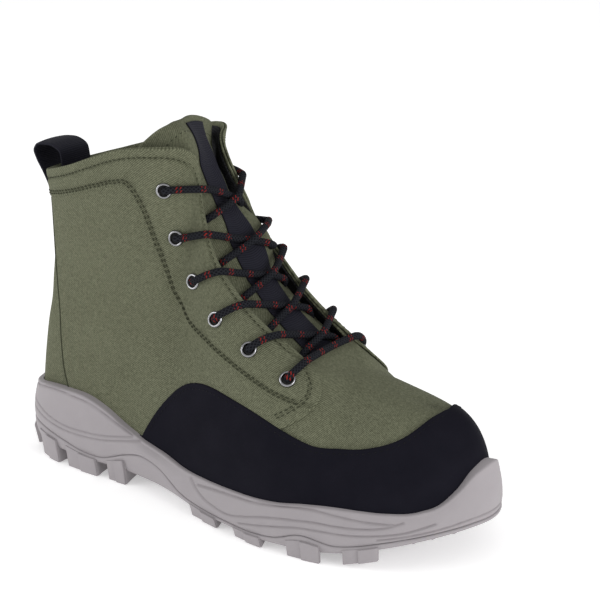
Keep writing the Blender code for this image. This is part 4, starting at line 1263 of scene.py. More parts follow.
# Folds across the tongue and pleats down it.
TONGUE_FOLDS = (
    # down, tilt, depth, reach
    (0.030, 0.004, 0.0006, 0.0050),
    (0.052, -0.003, 0.0008, 0.0045),
    (0.075, 0.003, 0.0009, 0.0045),
    (0.097, -0.002, 0.0008, 0.0040),
    (0.118, 0.002, 0.0006, 0.0040),
)
TONGUE_PLEATS = (
    # where, depth, reach
    (0.62, 0.0010, 0.07),
    (0.80, -0.0008, 0.06),
)
# The near top corner stands a little over the collar.
TONGUE_EAR = (
    # across, height
    (-1.0, 0.0008),
    (-0.8, 0.0048),
    (-0.6, 0.0074),
    (-0.42, 0.0074),
    (-0.25, 0.0046),
    (-0.10, 0.0024),
    (0.0, 0.0018),
    (0.3, 0.0006),
    (1.0, 0.0),
)
STRIP_END = 0.735
STRIP_ACROSS = 15
STRIP_ROW = 0.0014
STRIP_LIFT = 0.0010
HEM_ROW = 6


def tongue_sheet(rows=120, across=44):
    """Points of the tongue's outer face, with their normals and cloth coordinates."""
    depth = -(UPPER_WALL + TONGUE_CLEARANCE)
    curves = [tongue_curve(row[0]) for row in TONGUE]
    for station in TONGUE_ROOTS:
        near, far = (list(on_upper(side, station, np.array([0.80, 0.90, 1.0]), depth)[0])
                     for side in (LATERAL, MEDIAL))
        curves.append(smooth_line(near + far[1::-1]))
    coarse = np.array([along(curve, np.linspace(0, 1, across)) for curve in curves])
    middle = coarse[:, across // 2]
    down = arc_length(middle)
    fine = np.linspace(0, down[-1], rows)
    place = np.stack([np.stack([smooth(down, coarse[:, j, k], fine) for k in range(3)], axis=-1)
                      for j in range(across)], axis=1)
    normals = grid_normals(place)
    width = np.linspace(-1, 1, across)[None, :]
    depth_of = np.zeros((rows, across))
    for at, tilt, deep, reach in TONGUE_FOLDS:
        away = fine[:, None] - at - tilt * width
        depth_of += deep * np.exp(-(away / reach) ** 2) * (1 - 0.6 * width**2)
    for at, deep, reach in TONGUE_PLEATS:
        depth_of += deep * np.exp(-((np.abs(width) - at) / reach) ** 2) * np.clip(fine[:, None] / 0.02, 0, 1)
    place = place - depth_of[..., None] * normals
    ear = through(TONGUE_EAR, width) * np.exp(-(fine[:, None] / 0.022) ** 2)
    place[..., 2] += ear
    side_way = np.linalg.norm(np.diff(place, axis=1), axis=2)
    u = np.concatenate([np.zeros((rows, 1)), np.cumsum(side_way, axis=1)], axis=1)
    cloth = np.stack([u, np.broadcast_to(fine[:, None], u.shape)], axis=-1)
    return place, grid_normals(place), cloth


def dress_tongue():
    place, normals, cloth = tongue_sheet()
    tongue = shell("tongue_cloth", [(place, normals, cloth)], TONGUE_THICKNESS)
    piece(tongue, TONGUE_CANVAS, "canvas", "tongue")
    rows = []
    last = int(np.searchsorted(place[:, place.shape[1] // 2, 0], vamp_bridge(STRIP_END, 5)[2][0]))
    for i in range(2, last):
        reach = min(STRIP_WIDTH / 2, 0.5 * abs(place[i, -1, 1]))
        y = np.linspace(-reach, reach, STRIP_ACROSS)
        point = sampled(place[i], place[i, :, 1], y)
        normal = unit(sampled(normals[i], place[i, :, 1], y))
        cloth = np.column_stack([y, np.full(STRIP_ACROSS, STRIP_ROW * i)])
        rows.append((point + STRIP_LIFT * normal, normal, cloth))
    strip = shell("tongue_webbing", [tuple(np.array(part) for part in zip(*rows))], STRIP_LIFT - 0.0001)
    piece(strip, WEBBING, "black_webbing", "tongue_strip")
    columns = np.arange(place.shape[1])
    at = np.linspace(0.06, 0.94, 80) * (place.shape[1] - 1)
    hem = (sampled(place[HEM_ROW], columns, at), unit(sampled(normals[HEM_ROW], columns, at)))
    piece(stitch_mesh("stitches_tongue", [hem]), THREAD, "canvas")


# Pull loop

def dress_loop():
    back = on_upper(LATERAL, 0.0, 1.0)[0]
    control = np.array([[back[0] - LOOP_HEIGHT * behind, 0.0, back[2] + LOOP_HEIGHT * above]
                        for behind, above in LOOP])
    line = along(smooth_line(control), np.linspace(0, 1, 90))
    tangents = unit(np.gradient(line, axis=0))
    outward = np.column_stack([-tangents[:, 2], np.zeros(len(line)), tangents[:, 0]])
    across = np.linspace(-0.5, 0.5, 21)
    arc = arc_length(line)
    dome = 0.0007 * (1 - (2 * across) ** 2)
    place = line[:, None, :] + (LOOP_THICKNESS / 2 - 0.0004 + dome)[None, :, None] * outward[:, None, :]
    waist = 1 - 0.03 * np.sin(math.pi * arc / arc[-1])
    place[:, :, 1] = across[None, :] * (LOOP_WIDTH - 0.0016) * waist[:, None]
    normals = np.broadcast_to(outward[:, None, :], place.shape)
    cloth = np.stack(np.broadcast_arrays(across[None, :] * LOOP_WIDTH, arc[:, None]), axis=-1)
    if np.dot(outward[len(line) // 2], [0, 0, 1]) < 0:
        normals = -normals
        place = place - (LOOP_THICKNESS - 0.0008) * outward[:, None, :]
    piece(shell("pull_loop_webbing", [(place, normals, cloth)], LOOP_THICKNESS - 0.0002), WEBBING,
          "black_webbing", "pull_loop")


# Eyelets

# The ring's section, turned about the eyelet's middle; the hole lies inside it.
EYELET_PROFILE = (
    # radius, height
    (0.00300, -0.0016),
    (0.00298, 0.0002),
    (0.00308, 0.0008),
    (0.00335, 0.0012),
    (0.00375, 0.00135),
    (0.00415, 0.0012),
    (0.00442, 0.0008),
    (0.00458, 0.0003),
    (0.00463, -0.0002),
    (0.00450, -0.0006),
    (0.00400, -0.0008),
    (0.00345, -0.0011),
)
# A near-black disc that closes the ring's hole, painted shade for the hole's dark inside.
EYELET_HOLE = (
    # radius, height
    (0.0030, -0.0005),
    (0.0030, 0.0001),
    (0.0028, 0.0002),
)
EYELET_RIM = max(radius for radius, _ in EYELET_PROFILE)
EYELET_REST = 0.0160
EYELET_SINK = 0.0003
ROUND = 40
SOFT_PASSES = 160


def softened(normals):
    """Normals averaged over their neighbours."""
    normals = normals.copy()
    for _ in range(SOFT_PASSES):
        normals[1:-1, 1:-1] = (normals[2:, 1:-1] + normals[:-2, 1:-1]
                               + normals[1:-1, 2:] + normals[1:-1, :-2]) / 4
    return unit(normals)


SOFT_NORMALS = {side: softened(SURFACE[side][1]) for side in (LATERAL, MEDIAL)}


def eyelet_place(index, side):
    """The centre of an eyelet seated on the facing, and the facing's normal."""
    station, share = LACING[index][:2]
    centre, normal, _ = on_upper(side, station, share, FACING_LIFT)
    points, normals, _ = SURFACE[side]
    cloth = (points + FACING_LIFT * normals).reshape(-1, 3)
    away = np.linalg.norm(cloth - centre, axis=1)
    close = away < EYELET_RIM
    normal = unit(normals.reshape(-1, 3)[away < EYELET_REST].mean(axis=0))
    proud = max(0.0, float(np.max((cloth[close] - centre) @ normal)) - EYELET_SINK)
    return centre + proud * normal, normal


def above_cloth(side, place, lift):
    """A place moved along the canvas's normal until it lies a set distance over it."""
    points, normals = SURFACE[side][0], SOFT_NORMALS[side]
    away = np.linalg.norm(points - place, axis=2)
    i, j = np.unravel_index(away.argmin(), away.shape)
    normal = normals[i, j]
    return place + (lift - np.dot(place - points[i, j], normal)) * normal


def lathe(rows, centre, normal, closed):
    """A ring turned about a normal."""
    one = unit(np.cross(normal, [0.0, 0.0, 1.0]))
    two = np.cross(normal, one)
    verts, faces = [], []
    for radius, height in rows:
        for k in range(ROUND):
            angle = 2 * math.pi * k / ROUND
            verts.append(centre + radius * (math.cos(angle) * one + math.sin(angle) * two) + height * normal)
    count = len(rows)
    for i in range(count if closed else count - 1):
        for k in range(ROUND):
            a, b = i * ROUND + k, i * ROUND + (k + 1) % ROUND
            c = (i + 1) % count * ROUND
            faces.append((a, c + k, c + (k + 1) % ROUND, b))
    if not closed:
        faces.append(tuple(range(ROUND)))
        faces.append(tuple(reversed(range((count - 1) * ROUND, count * ROUND))))
    return verts, faces


def joined(name, bodies):
    """One mesh of several bodies, each its points and faces."""
    verts, faces = [], []
    for points, sides in bodies:
        faces += [tuple(k + len(verts) for k in face) for face in sides]
        verts += points
    mesh = mesh_from(name, verts, faces)
    shape = bmesh.new()
    shape.from_mesh(mesh)
    bmesh.ops.recalc_face_normals(shape, faces=shape.faces)
    shape.to_mesh(mesh)
    shape.free()
    return mesh


def dress_eyelets():
    holes = []
    for side, name in BOTH_SIDES:
        for index in range(len(LACING)):
            centre, normal = eyelet_place(index, side)
            ring = joined(f"ring_{name}_{index + 1}", [lathe(EYELET_PROFILE, centre, normal, True)])
            piece(ring, METAL, "eyelet_metal", f"eyelet_{name}_{index + 1}")
            # The hole is closed with a near-black disc, painted shade for its inside.
            holes.append(lathe(EYELET_HOLE, centre, normal, False))
    piece(joined("eyelet_holes", holes), HOLE_SHADE, "lace_cord")


# Laces

LACE_STEP = 0.0007
LACE_SIDES = 16
LACE_ROUND = 0.00208
WEAVE_LENGTH = 0.0043
# Cords are pulled straight in passes, and only what lies within a reach of
# their own lift pushes them.
TAUT_PASSES = 420
TAUT_STEP = 0.0009
TAUT_PULL = 0.45
TAUT_REACH = 1.6
STRAP_LIFT = 0.0009
FACING_SHARES = 110
BRIDGE_STEP = 0.003
BRIDGE_END = 0.78
MEDIAL_SLACK = 0.0008
# The lace in its eyelet: how far over the facing, and how far towards its edge.
WELL = ((-0.0060, -0.0015), (-0.0025, -0.0004), (0.0012, 0.0010))
WELL_EXIT = 0.0042
# Where one strand crosses over another, and the bar over the vamp.
CROSSING_LIFT = 2.03
CROSSING_RISE = 2.1
CROSSING_WAY = (0.75, 0.0, 0.65)
BAR_WAY = (0.3, 0.0, 1.0)


def cloth_spots(sides, bridge):
    """The facings' faces as places, normals and a mark on their free edges, for a cord to lie on."""
    spots, normals, edges = [], [], []
    rows = (FINE_STATIONS > 0.30) & (FINE_STATIONS < 0.80)
    for side in sides:
        points, faces, _ = SURFACE[side]
        spots.append((points + FACING_LIFT * faces)[rows][:, FACING_SHARES:])
        normals.append(SOFT_NORMALS[side][rows][:, FACING_SHARES:])
        edges.append(np.zeros(spots[-1].shape[:2]))
        edges[-1][:, -1] = 1
    if bridge:
        stations = np.arange(VAMP_START + BRIDGE_STEP, BRIDGE_END, BRIDGE_STEP)
        spots.append(np.array([vamp_bridge(s, VAMP_COUNT) for s in stations]))
        normals.append(np.broadcast_to(unit(np.array(VAMP_UP)), spots[-1].shape))
        edges.append(np.zeros(spots[-1].shape[:2]))
    return [np.concatenate([part.reshape(-1, *part.shape[2:]) for part in parts])
            for parts in (spots, normals, edges)]


def touching(spots, normals, edges, lift):
    """Places that a cord stays a set distance away from."""
    return tree_of(spots), normals, edges, lift


def taut(control, bodies):
    """A cord through its control places pulled straight, and kept on the bodies that it touches."""
    control = np.array(control)
    arc = arc_length(control)
    at = np.linspace(0, arc[-1], max(8, round(arc[-1] / TAUT_STEP)))
    path = sampled(control, arc, at)
    for _ in range(TAUT_PASSES):
        path[1:-1] += TAUT_PULL * (path[:-2] + path[2:] - 2 * path[1:-1])
        for i in range(1, len(path) - 1):
            for tree, normals, edges, lift in bodies:
                spot, k, away = tree.find(path[i])
                if away > TAUT_REACH * lift:
                    continue
                gap = path[i] - np.array(spot)
                if edges[k]:
                    if away < lift:
                        path[i] += (lift / max(away, 1e-6) - 1) * gap
                elif np.dot(gap, normals[k]) < lift:
                    path[i] += (lift - np.dot(gap, normals[k])) * normals[k]
    return path


def lace_ends(index, side):
    """The hidden start of a lace in its eyelet, and its first places over the facing."""
    centre, normal = eyelet_place(index, side)
    edge = on_upper(side, LACING[index][2], 1.0, FACING_LIFT + LACE_ROUND)[0]
    way = unit(edge - centre - np.dot(edge - centre, normal) * normal)
    well = [centre + over * normal + out * way for over, out in WELL]
    start = above_cloth(side, centre + WELL_EXIT * way, FACING_LIFT + LACE_ROUND)
    edge = above_cloth(side, edge, FACING_LIFT + LACE_ROUND)
    between = [above_cloth(side, start + part * (edge - start), FACING_LIFT + LACE_ROUND)
               for part in (0.2, 0.4, 0.6, 0.8)]
    return well, [start, *between, edge]


def lace_route():
    """One lace: down from the near top eyelet, over the bar and up to the far top eyelet."""
    pairs = len(LACING)
    place, faces, _ = tongue_sheet(90, 60)
    tongue = (place.reshape(-1, 3), faces.reshape(-1, 3), np.zeros(place.shape[0] * place.shape[1]))
    strands = {}
    for side in (LATERAL, MEDIAL):
        slack = 0.0 if side == LATERAL else MEDIAL_SLACK
        cloth = touching(*cloth_spots([side], False), LACE_ROUND + slack)
        strap = touching(*tongue, LACE_ROUND + STRAP_LIFT)
        for index in range(pairs - 1):
            under = LACING[index][3]
            hem = on_upper(-side, under, 1.0)[0]
            dive = tongue_point(under, hem[1] + side * LACE_INSET, LACE_ROUND + STRAP_LIFT)
            start = lace_ends(index, side)[1]
            bodies = [cloth, strap]
            if side == MEDIAL:
                below = strands[index, LATERAL]
                bodies.append(touching(below, below, np.ones(len(below)), CROSSING_LIFT * LACE_ROUND))
                middle = below[np.abs((below - dive) @ unit(start[-1] - dive)
                                      - 0.5 * np.linalg.norm(start[-1] - dive)).argmin()]
                start.append(middle + CROSSING_RISE * LACE_ROUND * unit(np.array(CROSSING_WAY)))
            strands[index, side] = taut([*start, dive], bodies)
    both = touching(*cloth_spots([LATERAL, MEDIAL], True), LACE_ROUND)
    ridge = vamp_bridge(BAR_STATION, 5)[2] + np.array(BAR_WAY) * LACE_ROUND
    far, near = lace_ends(pairs - 1, MEDIAL)[1], lace_ends(pairs - 1, LATERAL)[1]
    bar = taut([*far, ridge, *near[::-1]], [both])
    route = []
    for index in range(pairs - 1):
        side = (LATERAL, MEDIAL)[index % 2]
        route += [*lace_ends(index, side)[0], *strands[index, side]]
    route += [*lace_ends(pairs - 1, MEDIAL)[0], *bar, *lace_ends(pairs - 1, LATERAL)[0][::-1]]
    for index in reversed(range(pairs - 1)):
        side = (MEDIAL, LATERAL)[index % 2]
        route += [*strands[index, side][::-1], *lace_ends(index, side)[0][::-1]]
    return np.array(route)


def tube(name, path, radius, sides=LACE_SIDES, depth=0.035):
    """A round braid swept along a path, its first cloth coordinate running along it in metres."""
    arc = arc_length(path)
    tangents = unit(np.gradient(path, axis=0))
    side = unit(np.cross(tangents[0], [0.0, 0.0, 1.0]))
    verts = []
    for point, tangent, at in zip(path, tangents, arc):
        side = unit(side - np.dot(side, tangent) * tangent)
        other = np.cross(tangent, side)
        turned = 2 * math.pi * at / WEAVE_LENGTH
        for k in range(sides):
            angle = 2 * math.pi * k / sides
            weave = math.sin(turned + 3 * angle) * math.sin(turned - 3 * angle)
            out = math.cos(angle) * side + math.sin(angle) * other
            verts.append(point + radius * (1 + depth * weave) * out)
    faces, corners = ring_faces(len(path), sides), []
    for start, end in zip(arc, arc[1:]):
        for k in range(sides):
            low, high = k / sides, (k + 1) / sides
            corners += [(start, low), (start, high), (end, high), (end, low)]
    last = (len(path) - 1) * sides
    faces.append(tuple(reversed(range(sides))))
    faces.append(tuple(range(last, last + sides)))
    corners += [(0.0, 0.0)] * (2 * sides)
    mesh = mesh_from(name, verts, faces)
    layer = mesh.uv_layers.new(name="UVMap")
    layer.data.foreach_set("uv", np.array(corners, dtype=np.float32).ravel())
    mesh.update()
    return mesh


def dress_laces():
    control = lace_route()
    chords = arc_length(control)
    fine = np.linspace(0, chords[-1], round(chords[-1] / LACE_STEP))
    path = smoothed(control, chords, fine)
    names = [f"lace_crossing_{k + 1}" for k in range(len(LACING) - 1)] + ["lace_bar"]
    piece(tube("lace", path, LACE_ROUND), LACE, "lace_cord", *names)


# Insole

def dress_insole():
    rows = []
    for station in section_stations(0.05)[1:-1]:
        ends = [on_upper(side, station, 0.0, -(UPPER_WALL + 0.0004))[0] for side in (LATERAL, MEDIAL)]
        t = np.linspace(0, 1, 25)
        x = ends[0][0] + (ends[1][0] - ends[0][0]) * t
        y = ends[0][1] + (ends[1][1] - ends[0][1]) * t
        z = np.array([float(bed_height(station_at(value))) for value in x]) + 2 * GAP + INSOLE_THICKNESS
        z = z + 0.0012 * (2 * t - 1) ** 4
        rows.append(np.column_stack([x, y, z]))
    place = np.array(rows)
    normals = np.broadcast_to(np.array([0.0, 0.0, 1.0]), place.shape)
    piece(shell("insole_foam_pad", [(place, normals, place[..., :2])], INSOLE_THICKNESS - 0.0004), FOAM,
          "insole_foam", "insole")


# Midsole and outsole

# Grooves moulded in the midsole's side: stations, and heights as shares of the
# sole height.
GROOVES = (
    ((0.000, 0.640), (0.020, 0.690), (0.075, 0.790), (0.143, 0.850), (0.188, 0.838), (0.228, 0.812),
     (0.260, 0.748), (0.292, 0.664), (0.325, 0.588)),
    ((0.000, 0.600), (0.040, 0.620), (0.083, 0.583), (0.120, 0.530), (0.158, 0.491), (0.210, 0.487),
     (0.258, 0.505), (0.300, 0.545), (0.325, 0.575)),
    ((0.000, 0.520), (0.050, 0.530), (0.083, 0.505), (0.120, 0.465), (0.163, 0.436), (0.220, 0.436),
     (0.268, 0.464), (0.310, 0.515), (0.345, 0.560)),
    ((0.478, 0.410), (0.500, 0.330), (0.520, 0.278), (0.552, 0.238), (0.585, 0.228), (0.620, 0.275),
     (0.660, 0.340), (0.710, 0.398), (0.758, 0.432), (0.802, 0.432), (0.843, 0.440), (0.880, 0.470),
     (0.905, 0.520)),
    ((0.500, 0.375), (0.547, 0.405), (0.598, 0.430), (0.640, 0.450), (0.688, 0.492), (0.725, 0.530),
     (0.755, 0.545), (0.800, 0.530), (0.845, 0.510), (0.893, 0.500)),
    ((0.610, 0.185), (0.640, 0.225), (0.672, 0.268), (0.705, 0.310), (0.733, 0.345), (0.775, 0.358),
     (0.818, 0.360), (0.868, 0.388), (0.910, 0.432), (0.945, 0.500)),
    ((0.868, 0.345), (0.922, 0.405), (0.958, 0.455), (0.988, 0.505), (1.000, 0.520)),
)
GROOVE_DEPTH = 0.0008
GROOVE_REACH = 0.00055
SOLE_STEP = 0.0078
PLATE_STEP = 0.016
WALL_ROWS = 46
WALL_SWELL = 0.0007
WALL_FOOT = 0.0009
WALL_CURVE = 1.4
RIM_ROUND = ((0.0004, 0.0006), (0.0010, 0.0001), (0.0018, 0.0))


def groove_depth(side, stations, heights):
    """How far in the grooves lie at points of the sole's side."""
    along_sole = np.linspace(0, 1, 401)
    arc = arc_length(np.array([outline_point(s, side, 0.0)[0] for s in along_sole]))
    where = np.interp(stations, along_sole, arc)
    spots = np.stack([where, heights], axis=-1)
    depth = np.zeros(where.shape)
    for groove in GROOVES:
        line = np.array(groove)
        fine = np.linspace(line[0, 0], line[-1, 0], 160)
        high = smooth(line[:, 0], line[:, 1], fine) * SOLE_HEIGHT
        path = np.column_stack([np.interp(fine, along_sole, arc), high])
        near = np.full(where.shape, 1.0)
        for start, end in zip(path, path[1:]):
            step = end - start
            t = np.clip(((spots - start) @ step) / (step @ step), 0, 1)
            near = np.minimum(near, np.sum((spots - start - t[..., None] * step) ** 2, axis=-1))
        depth = np.maximum(depth, GROOVE_DEPTH * np.exp(-near / GROOVE_REACH**2))
    return depth


def ring_mesh(name, grids):
    """A closed body from the sections of both sides, joined across the middle."""
    shape = bmesh.new()
    rows, across = grids[LATERAL].shape[:2]
    verts = {}
    for side in (LATERAL, MEDIAL):
        verts[side] = [shape.verts.new(p) for p in grids[side].reshape(-1, 3)]
        for quad in grid_faces(rows, across):
            shape.faces.new([verts[side][k] for k in (quad if side == LATERAL else quad[::-1])])
    for j in (0, across - 1):
        for i in range(rows - 1):
            a, b = i * across + j, (i + 1) * across + j
            shape.faces.new((verts[LATERAL][a], verts[LATERAL][b], verts[MEDIAL][b], verts[MEDIAL][a]))
    bmesh.ops.remove_doubles(shape, verts=shape.verts, dist=2e-5)
    bmesh.ops.dissolve_degenerate(shape, dist=1e-6, edges=shape.edges)
    bmesh.ops.recalc_face_normals(shape, faces=shape.faces)
    return mesh_of(name, shape)


def section_places(station, side):
    """Gives places in from the sole's edge, each at a height or at what a function gives there."""
    base, inward = outline_point(station, side, 0.0)

    def at(inset, height):
        x, y = base + inset * inward
        return np.array([x, y, float(height(station_at(x))) if callable(height) else height])

    return at


def side_point(station, side, inset, height):
    return section_places(station, side)(inset, height)


def dress_midsole():
    stations = sole_stations(SOLE_STEP)
    grids, walls = {}, {}
    share = np.linspace(0.0, 1.0, WALL_ROWS)
    rim, joint = rim_height(stations), joint_height(stations)
    heights = joint[:, None] + (rim - joint - 0.0012)[:, None] * share[None, :]
    for side in (LATERAL, MEDIAL):
        depth = groove_depth(side, np.broadcast_to(stations[:, None], heights.shape), heights)
        rows = []
        for i, station in enumerate(stations):
            cup, lip, top = cup_inset(station), rim_inset(station), rim[i]
            at = section_places(station, side)
            row = [at(cup + CORE_EDGE, seam_height),
                   at(0.55 * (cup + CORE_STEP), min(joint[i], float(seam_height(station)))),
                   at(0.0012, joint[i] + 0.0001)]
            swell = WALL_SWELL * np.sin(math.pi * share)
            for k in range(WALL_ROWS):
                round_off = WALL_FOOT * math.exp(-share[k] * 22)
                inset = lip * share[k] ** WALL_CURVE + depth[i, k] + round_off - swell[k] + 0.0003
                row.append(at(inset, heights[i, k]))
            row += [at(lip + inset, top - drop) for inset, drop in RIM_ROUND]
            shares = share_at_height(station, side, top) * np.array([1.0, 0.5, 0.0])
            inside = on_upper(side, station, shares, 0.0006)[0]
            inside[-1][2] = float(bed_height(station_at(inside[-1][0])))
            rows.append([*row, *inside, at(cup + CORE_EDGE, bed_height)])
        grids[side] = np.array(rows)
        walls[side] = (grids[side][:, 3:3 + WALL_ROWS].reshape(-1, 3), (depth / GROOVE_DEPTH).reshape(-1))
    mesh = ring_mesh("midsole_rubber", grids)
    spots = np.concatenate([walls[side][0] for side in walls])
    deep = np.concatenate([walls[side][1] for side in walls])
    # Each point keeps how deep its groove lies, so that the rubber can paint shade into the grooves.
    marks = mesh.attributes.new("hollow", "FLOAT", "POINT")
    tree = tree_of(spots)
    values = []
    for vert in mesh.vertices:
        _, k, away = tree.find(vert.co)
        values.append(deep[k] if away < 1e-4 else 0.0)
    marks.data.foreach_set("value", np.array(values, dtype=np.float32))
    piece(mesh, RUBBER, "grey_rubber", "midsole", sharp=60)


def dress_plate():
    stations = sole_stations(PLATE_STEP)
    grids = {}
    for side in (LATERAL, MEDIAL):
        rows = []
        for station in stations:
            joint, under, seam_z = (float(f(station)) for f in (joint_height, under_height, seam_height))
            cup, at = cup_inset(station), section_places(station, side)
            row = [at(cup + CORE_EDGE, lambda s: seam_height(s) - 2 * GAP),
                   at(0.55 * (cup + CORE_STEP), min(joint, seam_z) - 2 * GAP),
                   at(0.0012, joint - 0.0002), at(0.0006, joint - 0.0006), at(0.0003, joint - 0.0012)]
            wall = joint - under
            for t in (0.25, 0.45, 0.65, 0.82):
                row.append(at(0.0003 + PLATE_EDGE * t**2, joint - 0.0012 - (wall - 0.0012) * t))
            row += [at(PLATE_EDGE + 0.0002, under + 0.0004), at(PLATE_EDGE + 0.0010, under),
                    at(cup + CORE_EDGE * 0.5, under), at(cup + CORE_EDGE, under_height)]
            rows.append(row)
        grids[side] = np.array(rows)
    piece(ring_mesh("outsole_plate", grids), RUBBER, "grey_rubber", "outsole", sharp=50)


def block(shape, rings):
    """Adds a closed block lofted through rings of points."""
    count = len(rings[0])
    verts = [shape.verts.new(p) for ring in rings for p in ring]
    shape.faces.new(verts[:count][::-1])
    shape.faces.new(verts[-count:])
    for quad in ring_faces(len(rings), count):
        shape.faces.new([verts[k] for k in quad])


def root_height(station):
    """How far up a lug's root lies in the plate."""
    return under_height(station) + LUG_ROOT


def edge_lug(shape, side, start, end, reach, lean, proud):
    """A lug on the sole's edge, rooted in the plate."""
    pinch = (end - start) * LUG_PINCH
    depth = reach * SOLE_LENGTH
    low, mid, top = [], [], []
    for station in np.linspace(start, end, 5):
        under, joint = float(under_height(station)), float(joint_height(station))
        wall = under + 0.72 * (joint - under)
        tread = float(tread_height(station))
        low.append(side_point(station, side, 0.0020 - proud, tread))
        mid.append(side_point(station, side, 0.0008 - proud, tread + 0.6 * (wall - tread)))
        top.append(side_point(station, side, -0.0004 - proud, wall))
    for station in (end - lean - pinch, (start + end) / 2 - lean, start - lean + pinch):
        low.append(side_point(station, side, depth - LUG_TAPER, tread_height))
        mid.append(side_point(station, side, depth - LUG_TAPER / 2,
                              lambda s: (tread_height(s) + under_height(s)) / 2))
        top.append(side_point(station, side, depth, root_height))
    block(shape, [low, mid, top])


def strip_block(shape, middle, width, drop=1.0):
    """A long block with round ends along a line of points, reaching a share of the way to the tread."""
    middle = np.array(middle)
    tangents = unit(np.gradient(middle, axis=0))
    across = np.column_stack([-tangents[:, 1], tangents[:, 0]])
    cap = 0.35 * width

    def ring(half, height):
        outline = list(middle + half * across)
        head, tail = middle[-1] + cap * tangents[-1], middle[0] - cap * tangents[0]
        outline += [head + 0.5 * half * across[-1], head - 0.5 * half * across[-1]]
        outline += list((middle - half * across)[::-1])
        outline += [tail - 0.5 * half * across[0], tail + 0.5 * half * across[0]]
        return [np.array([p[0], p[1], float(height(station_at(p[0])))]) for p in outline]

    half = width / 2
    foot = ring(half - LUG_TAPER / 2, lambda s: under_height(s) + drop * (tread_height(s) - under_height(s)))
    block(shape, [foot, ring(half, root_height)])


def lug_mesh(name, build):
    shape = bmesh.new()
    build(shape)
    bmesh.ops.recalc_face_normals(shape, faces=shape.faces)
    sharp = [e for e in shape.edges if len(e.link_faces) == 2 and e.calc_face_angle() > math.radians(25)]
    bmesh.ops.bevel(shape, geom=sharp, offset=LUG_ROUND, segments=2, profile=0.5, affect="EDGES")
    return mesh_of(name, shape)


def all_edge_lugs(shape):
    for side, table in ((LATERAL, LATERAL_LUGS), (MEDIAL, MEDIAL_LUGS)):
        for start, end, reach, lean in table:
            edge_lug(shape, side, start, end, reach, lean, 0.0)
            split = start + 0.45 * (end - start)
            edge_lug(shape, side, split, end - 0.001, reach * 0.96, lean, 0.0010)


def all_pods(shape):
    for start, start_side, end, end_side, bow in PODS:
        steps = np.linspace(0, 1, 9)
        x = (start + (end - start) * steps + bow * (1 - (2 * steps - 1) ** 2)) * SOLE_LENGTH - HEEL_SEAT
        y = (start_side + (end_side - start_side) * steps) * BALL_WIDTH
        strip_block(shape, np.column_stack([x, y]), POD_WIDTH)
    for station in TOE_RIDGES:
        low, high = (side * (float(half_width(turn(station), side)) - RIDGE_INSET)
                     for side in (LATERAL, MEDIAL))
        y = np.linspace(low, high, 7)
        strip_block(shape, np.column_stack([np.full(7, station * SOLE_LENGTH - HEEL_SEAT), y]), RIDGE_WIDTH,
                    RIDGE_DROP)


def heel_lug(shape):
    stations = [(s, LATERAL) for s in (0.050, 0.030, 0.014, 0.004)] + [(0.0, MEDIAL)]
    stations += [(s, MEDIAL) for s in (0.004, 0.014, 0.030, 0.050)]

    def ring(inset, inner_inset, height):
        points = [side_point(s, side, inset, float(height(s))) for s, side in stations]
        inner = [side_point(s, side, inner_inset, float(height(0.03))) for s, side in reversed(stations)]
        return points + inner

    block(shape, [ring(2 * LUG_TAPER, 0.009, tread_height),
                  ring(-LUG_TAPER, 0.010, lambda s: under_height(s) + 2 * LUG_ROOT)])


def dress_sole():
    dress_midsole()
    dress_plate()
    piece(lug_mesh("edge_lugs", all_edge_lugs), RUBBER, "grey_rubber", sharp=35)
    piece(lug_mesh("tread_pods", all_pods), RUBBER, "grey_rubber", sharp=35)
    piece(lug_mesh("heel_back_lug", heel_lug), RUBBER, "grey_rubber", sharp=35)


# Floor, light and camera

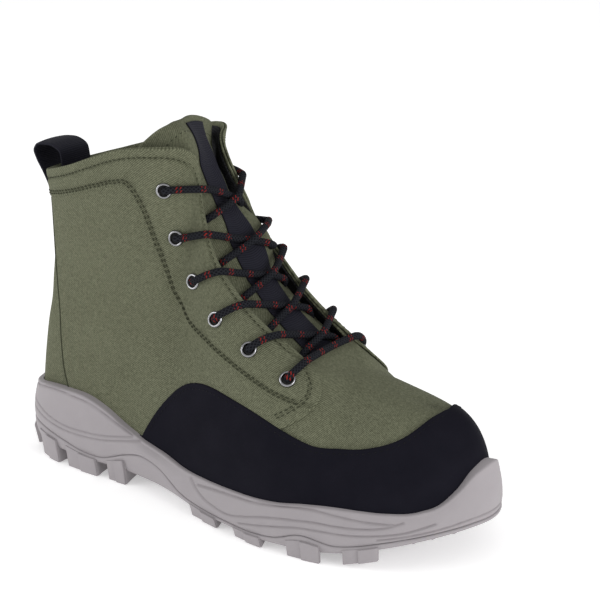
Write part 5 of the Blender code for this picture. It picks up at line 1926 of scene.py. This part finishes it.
AZIMUTH, ELEVATION, ROLL = math.radians(33.83), math.radians(19.53), math.radians(0.82)
TARGET = Vector((0.1686, 0.0, 0.12313))
DISTANCE = 0.901
SHIFT = -0.060
FLOOR_REACH = 6.0
FLOOR_GLOW = 0.34
WORLD_LIGHT = 0.68
LIGHT_SIZE = 0.8


def area_light(name, offset, size, power):
    lamp = bpy.data.lights.new(name, "AREA")
    lamp.shape = "RECTANGLE"
    lamp.size = lamp.size_y = size
    lamp.energy = power
    body = linked(name, lamp)
    body.location = TARGET + offset
    body.rotation_euler = offset.to_track_quat("Z", "Y").to_euler()


def studio():
    corners = [(FLOOR_REACH * x, FLOOR_REACH * y, 0) for x, y in ((-1, -1), (1, -1), (1, 1), (-1, 1))]
    mesh = mesh_from("studio_floor", corners, [(0, 1, 2, 3)])
    floor = linked("studio_floor", mesh)
    paper = finish("studio_floor", (0.93, 0.93, 0.93), 0.9, Emission_Strength=FLOOR_GLOW,
                   Emission_Color=(1.0, 1.0, 1.0, 1.0))
    mesh.materials.append(paper)

    world = bpy.data.worlds.new("studio")
    world.use_nodes = True
    background = world.node_tree.nodes["Background"]
    background.inputs[0].default_value = (1.0, 1.0, 1.0, 1.0)
    background.inputs[1].default_value = WORLD_LIGHT
    bpy.context.scene.world = world

    back = Vector((math.sin(AZIMUTH) * math.cos(ELEVATION), -math.cos(AZIMUTH) * math.cos(ELEVATION),
                   math.sin(ELEVATION)))
    area_light("light_toe", Vector((1.25, -0.10, 0.30)), LIGHT_SIZE, 9.0)
    area_light("light_heel", Vector((-0.95, -0.90, 0.35)), LIGHT_SIZE, 7.0)

    camera = bpy.data.cameras.new("camera")
    camera.lens = 100.0
    camera.sensor_width = 36.0
    camera.shift_x = SHIFT
    camera.clip_start = 0.01
    body = linked("camera", camera)
    turned = back.to_track_quat("Z", "Y").to_matrix() @ Matrix.Rotation(ROLL, 3, "Z")
    body.matrix_world = Matrix.Translation(TARGET + DISTANCE * back) @ turned.to_4x4()
    bpy.context.scene.camera = body


studio()
dress_sole()
dress_upper()
dress_overlays()
dress_rand()
dress_tongue()
dress_loop()
dress_eyelets()
dress_laces()
dress_insole()
dress_stitches()

bpy.context.view_layer.update()
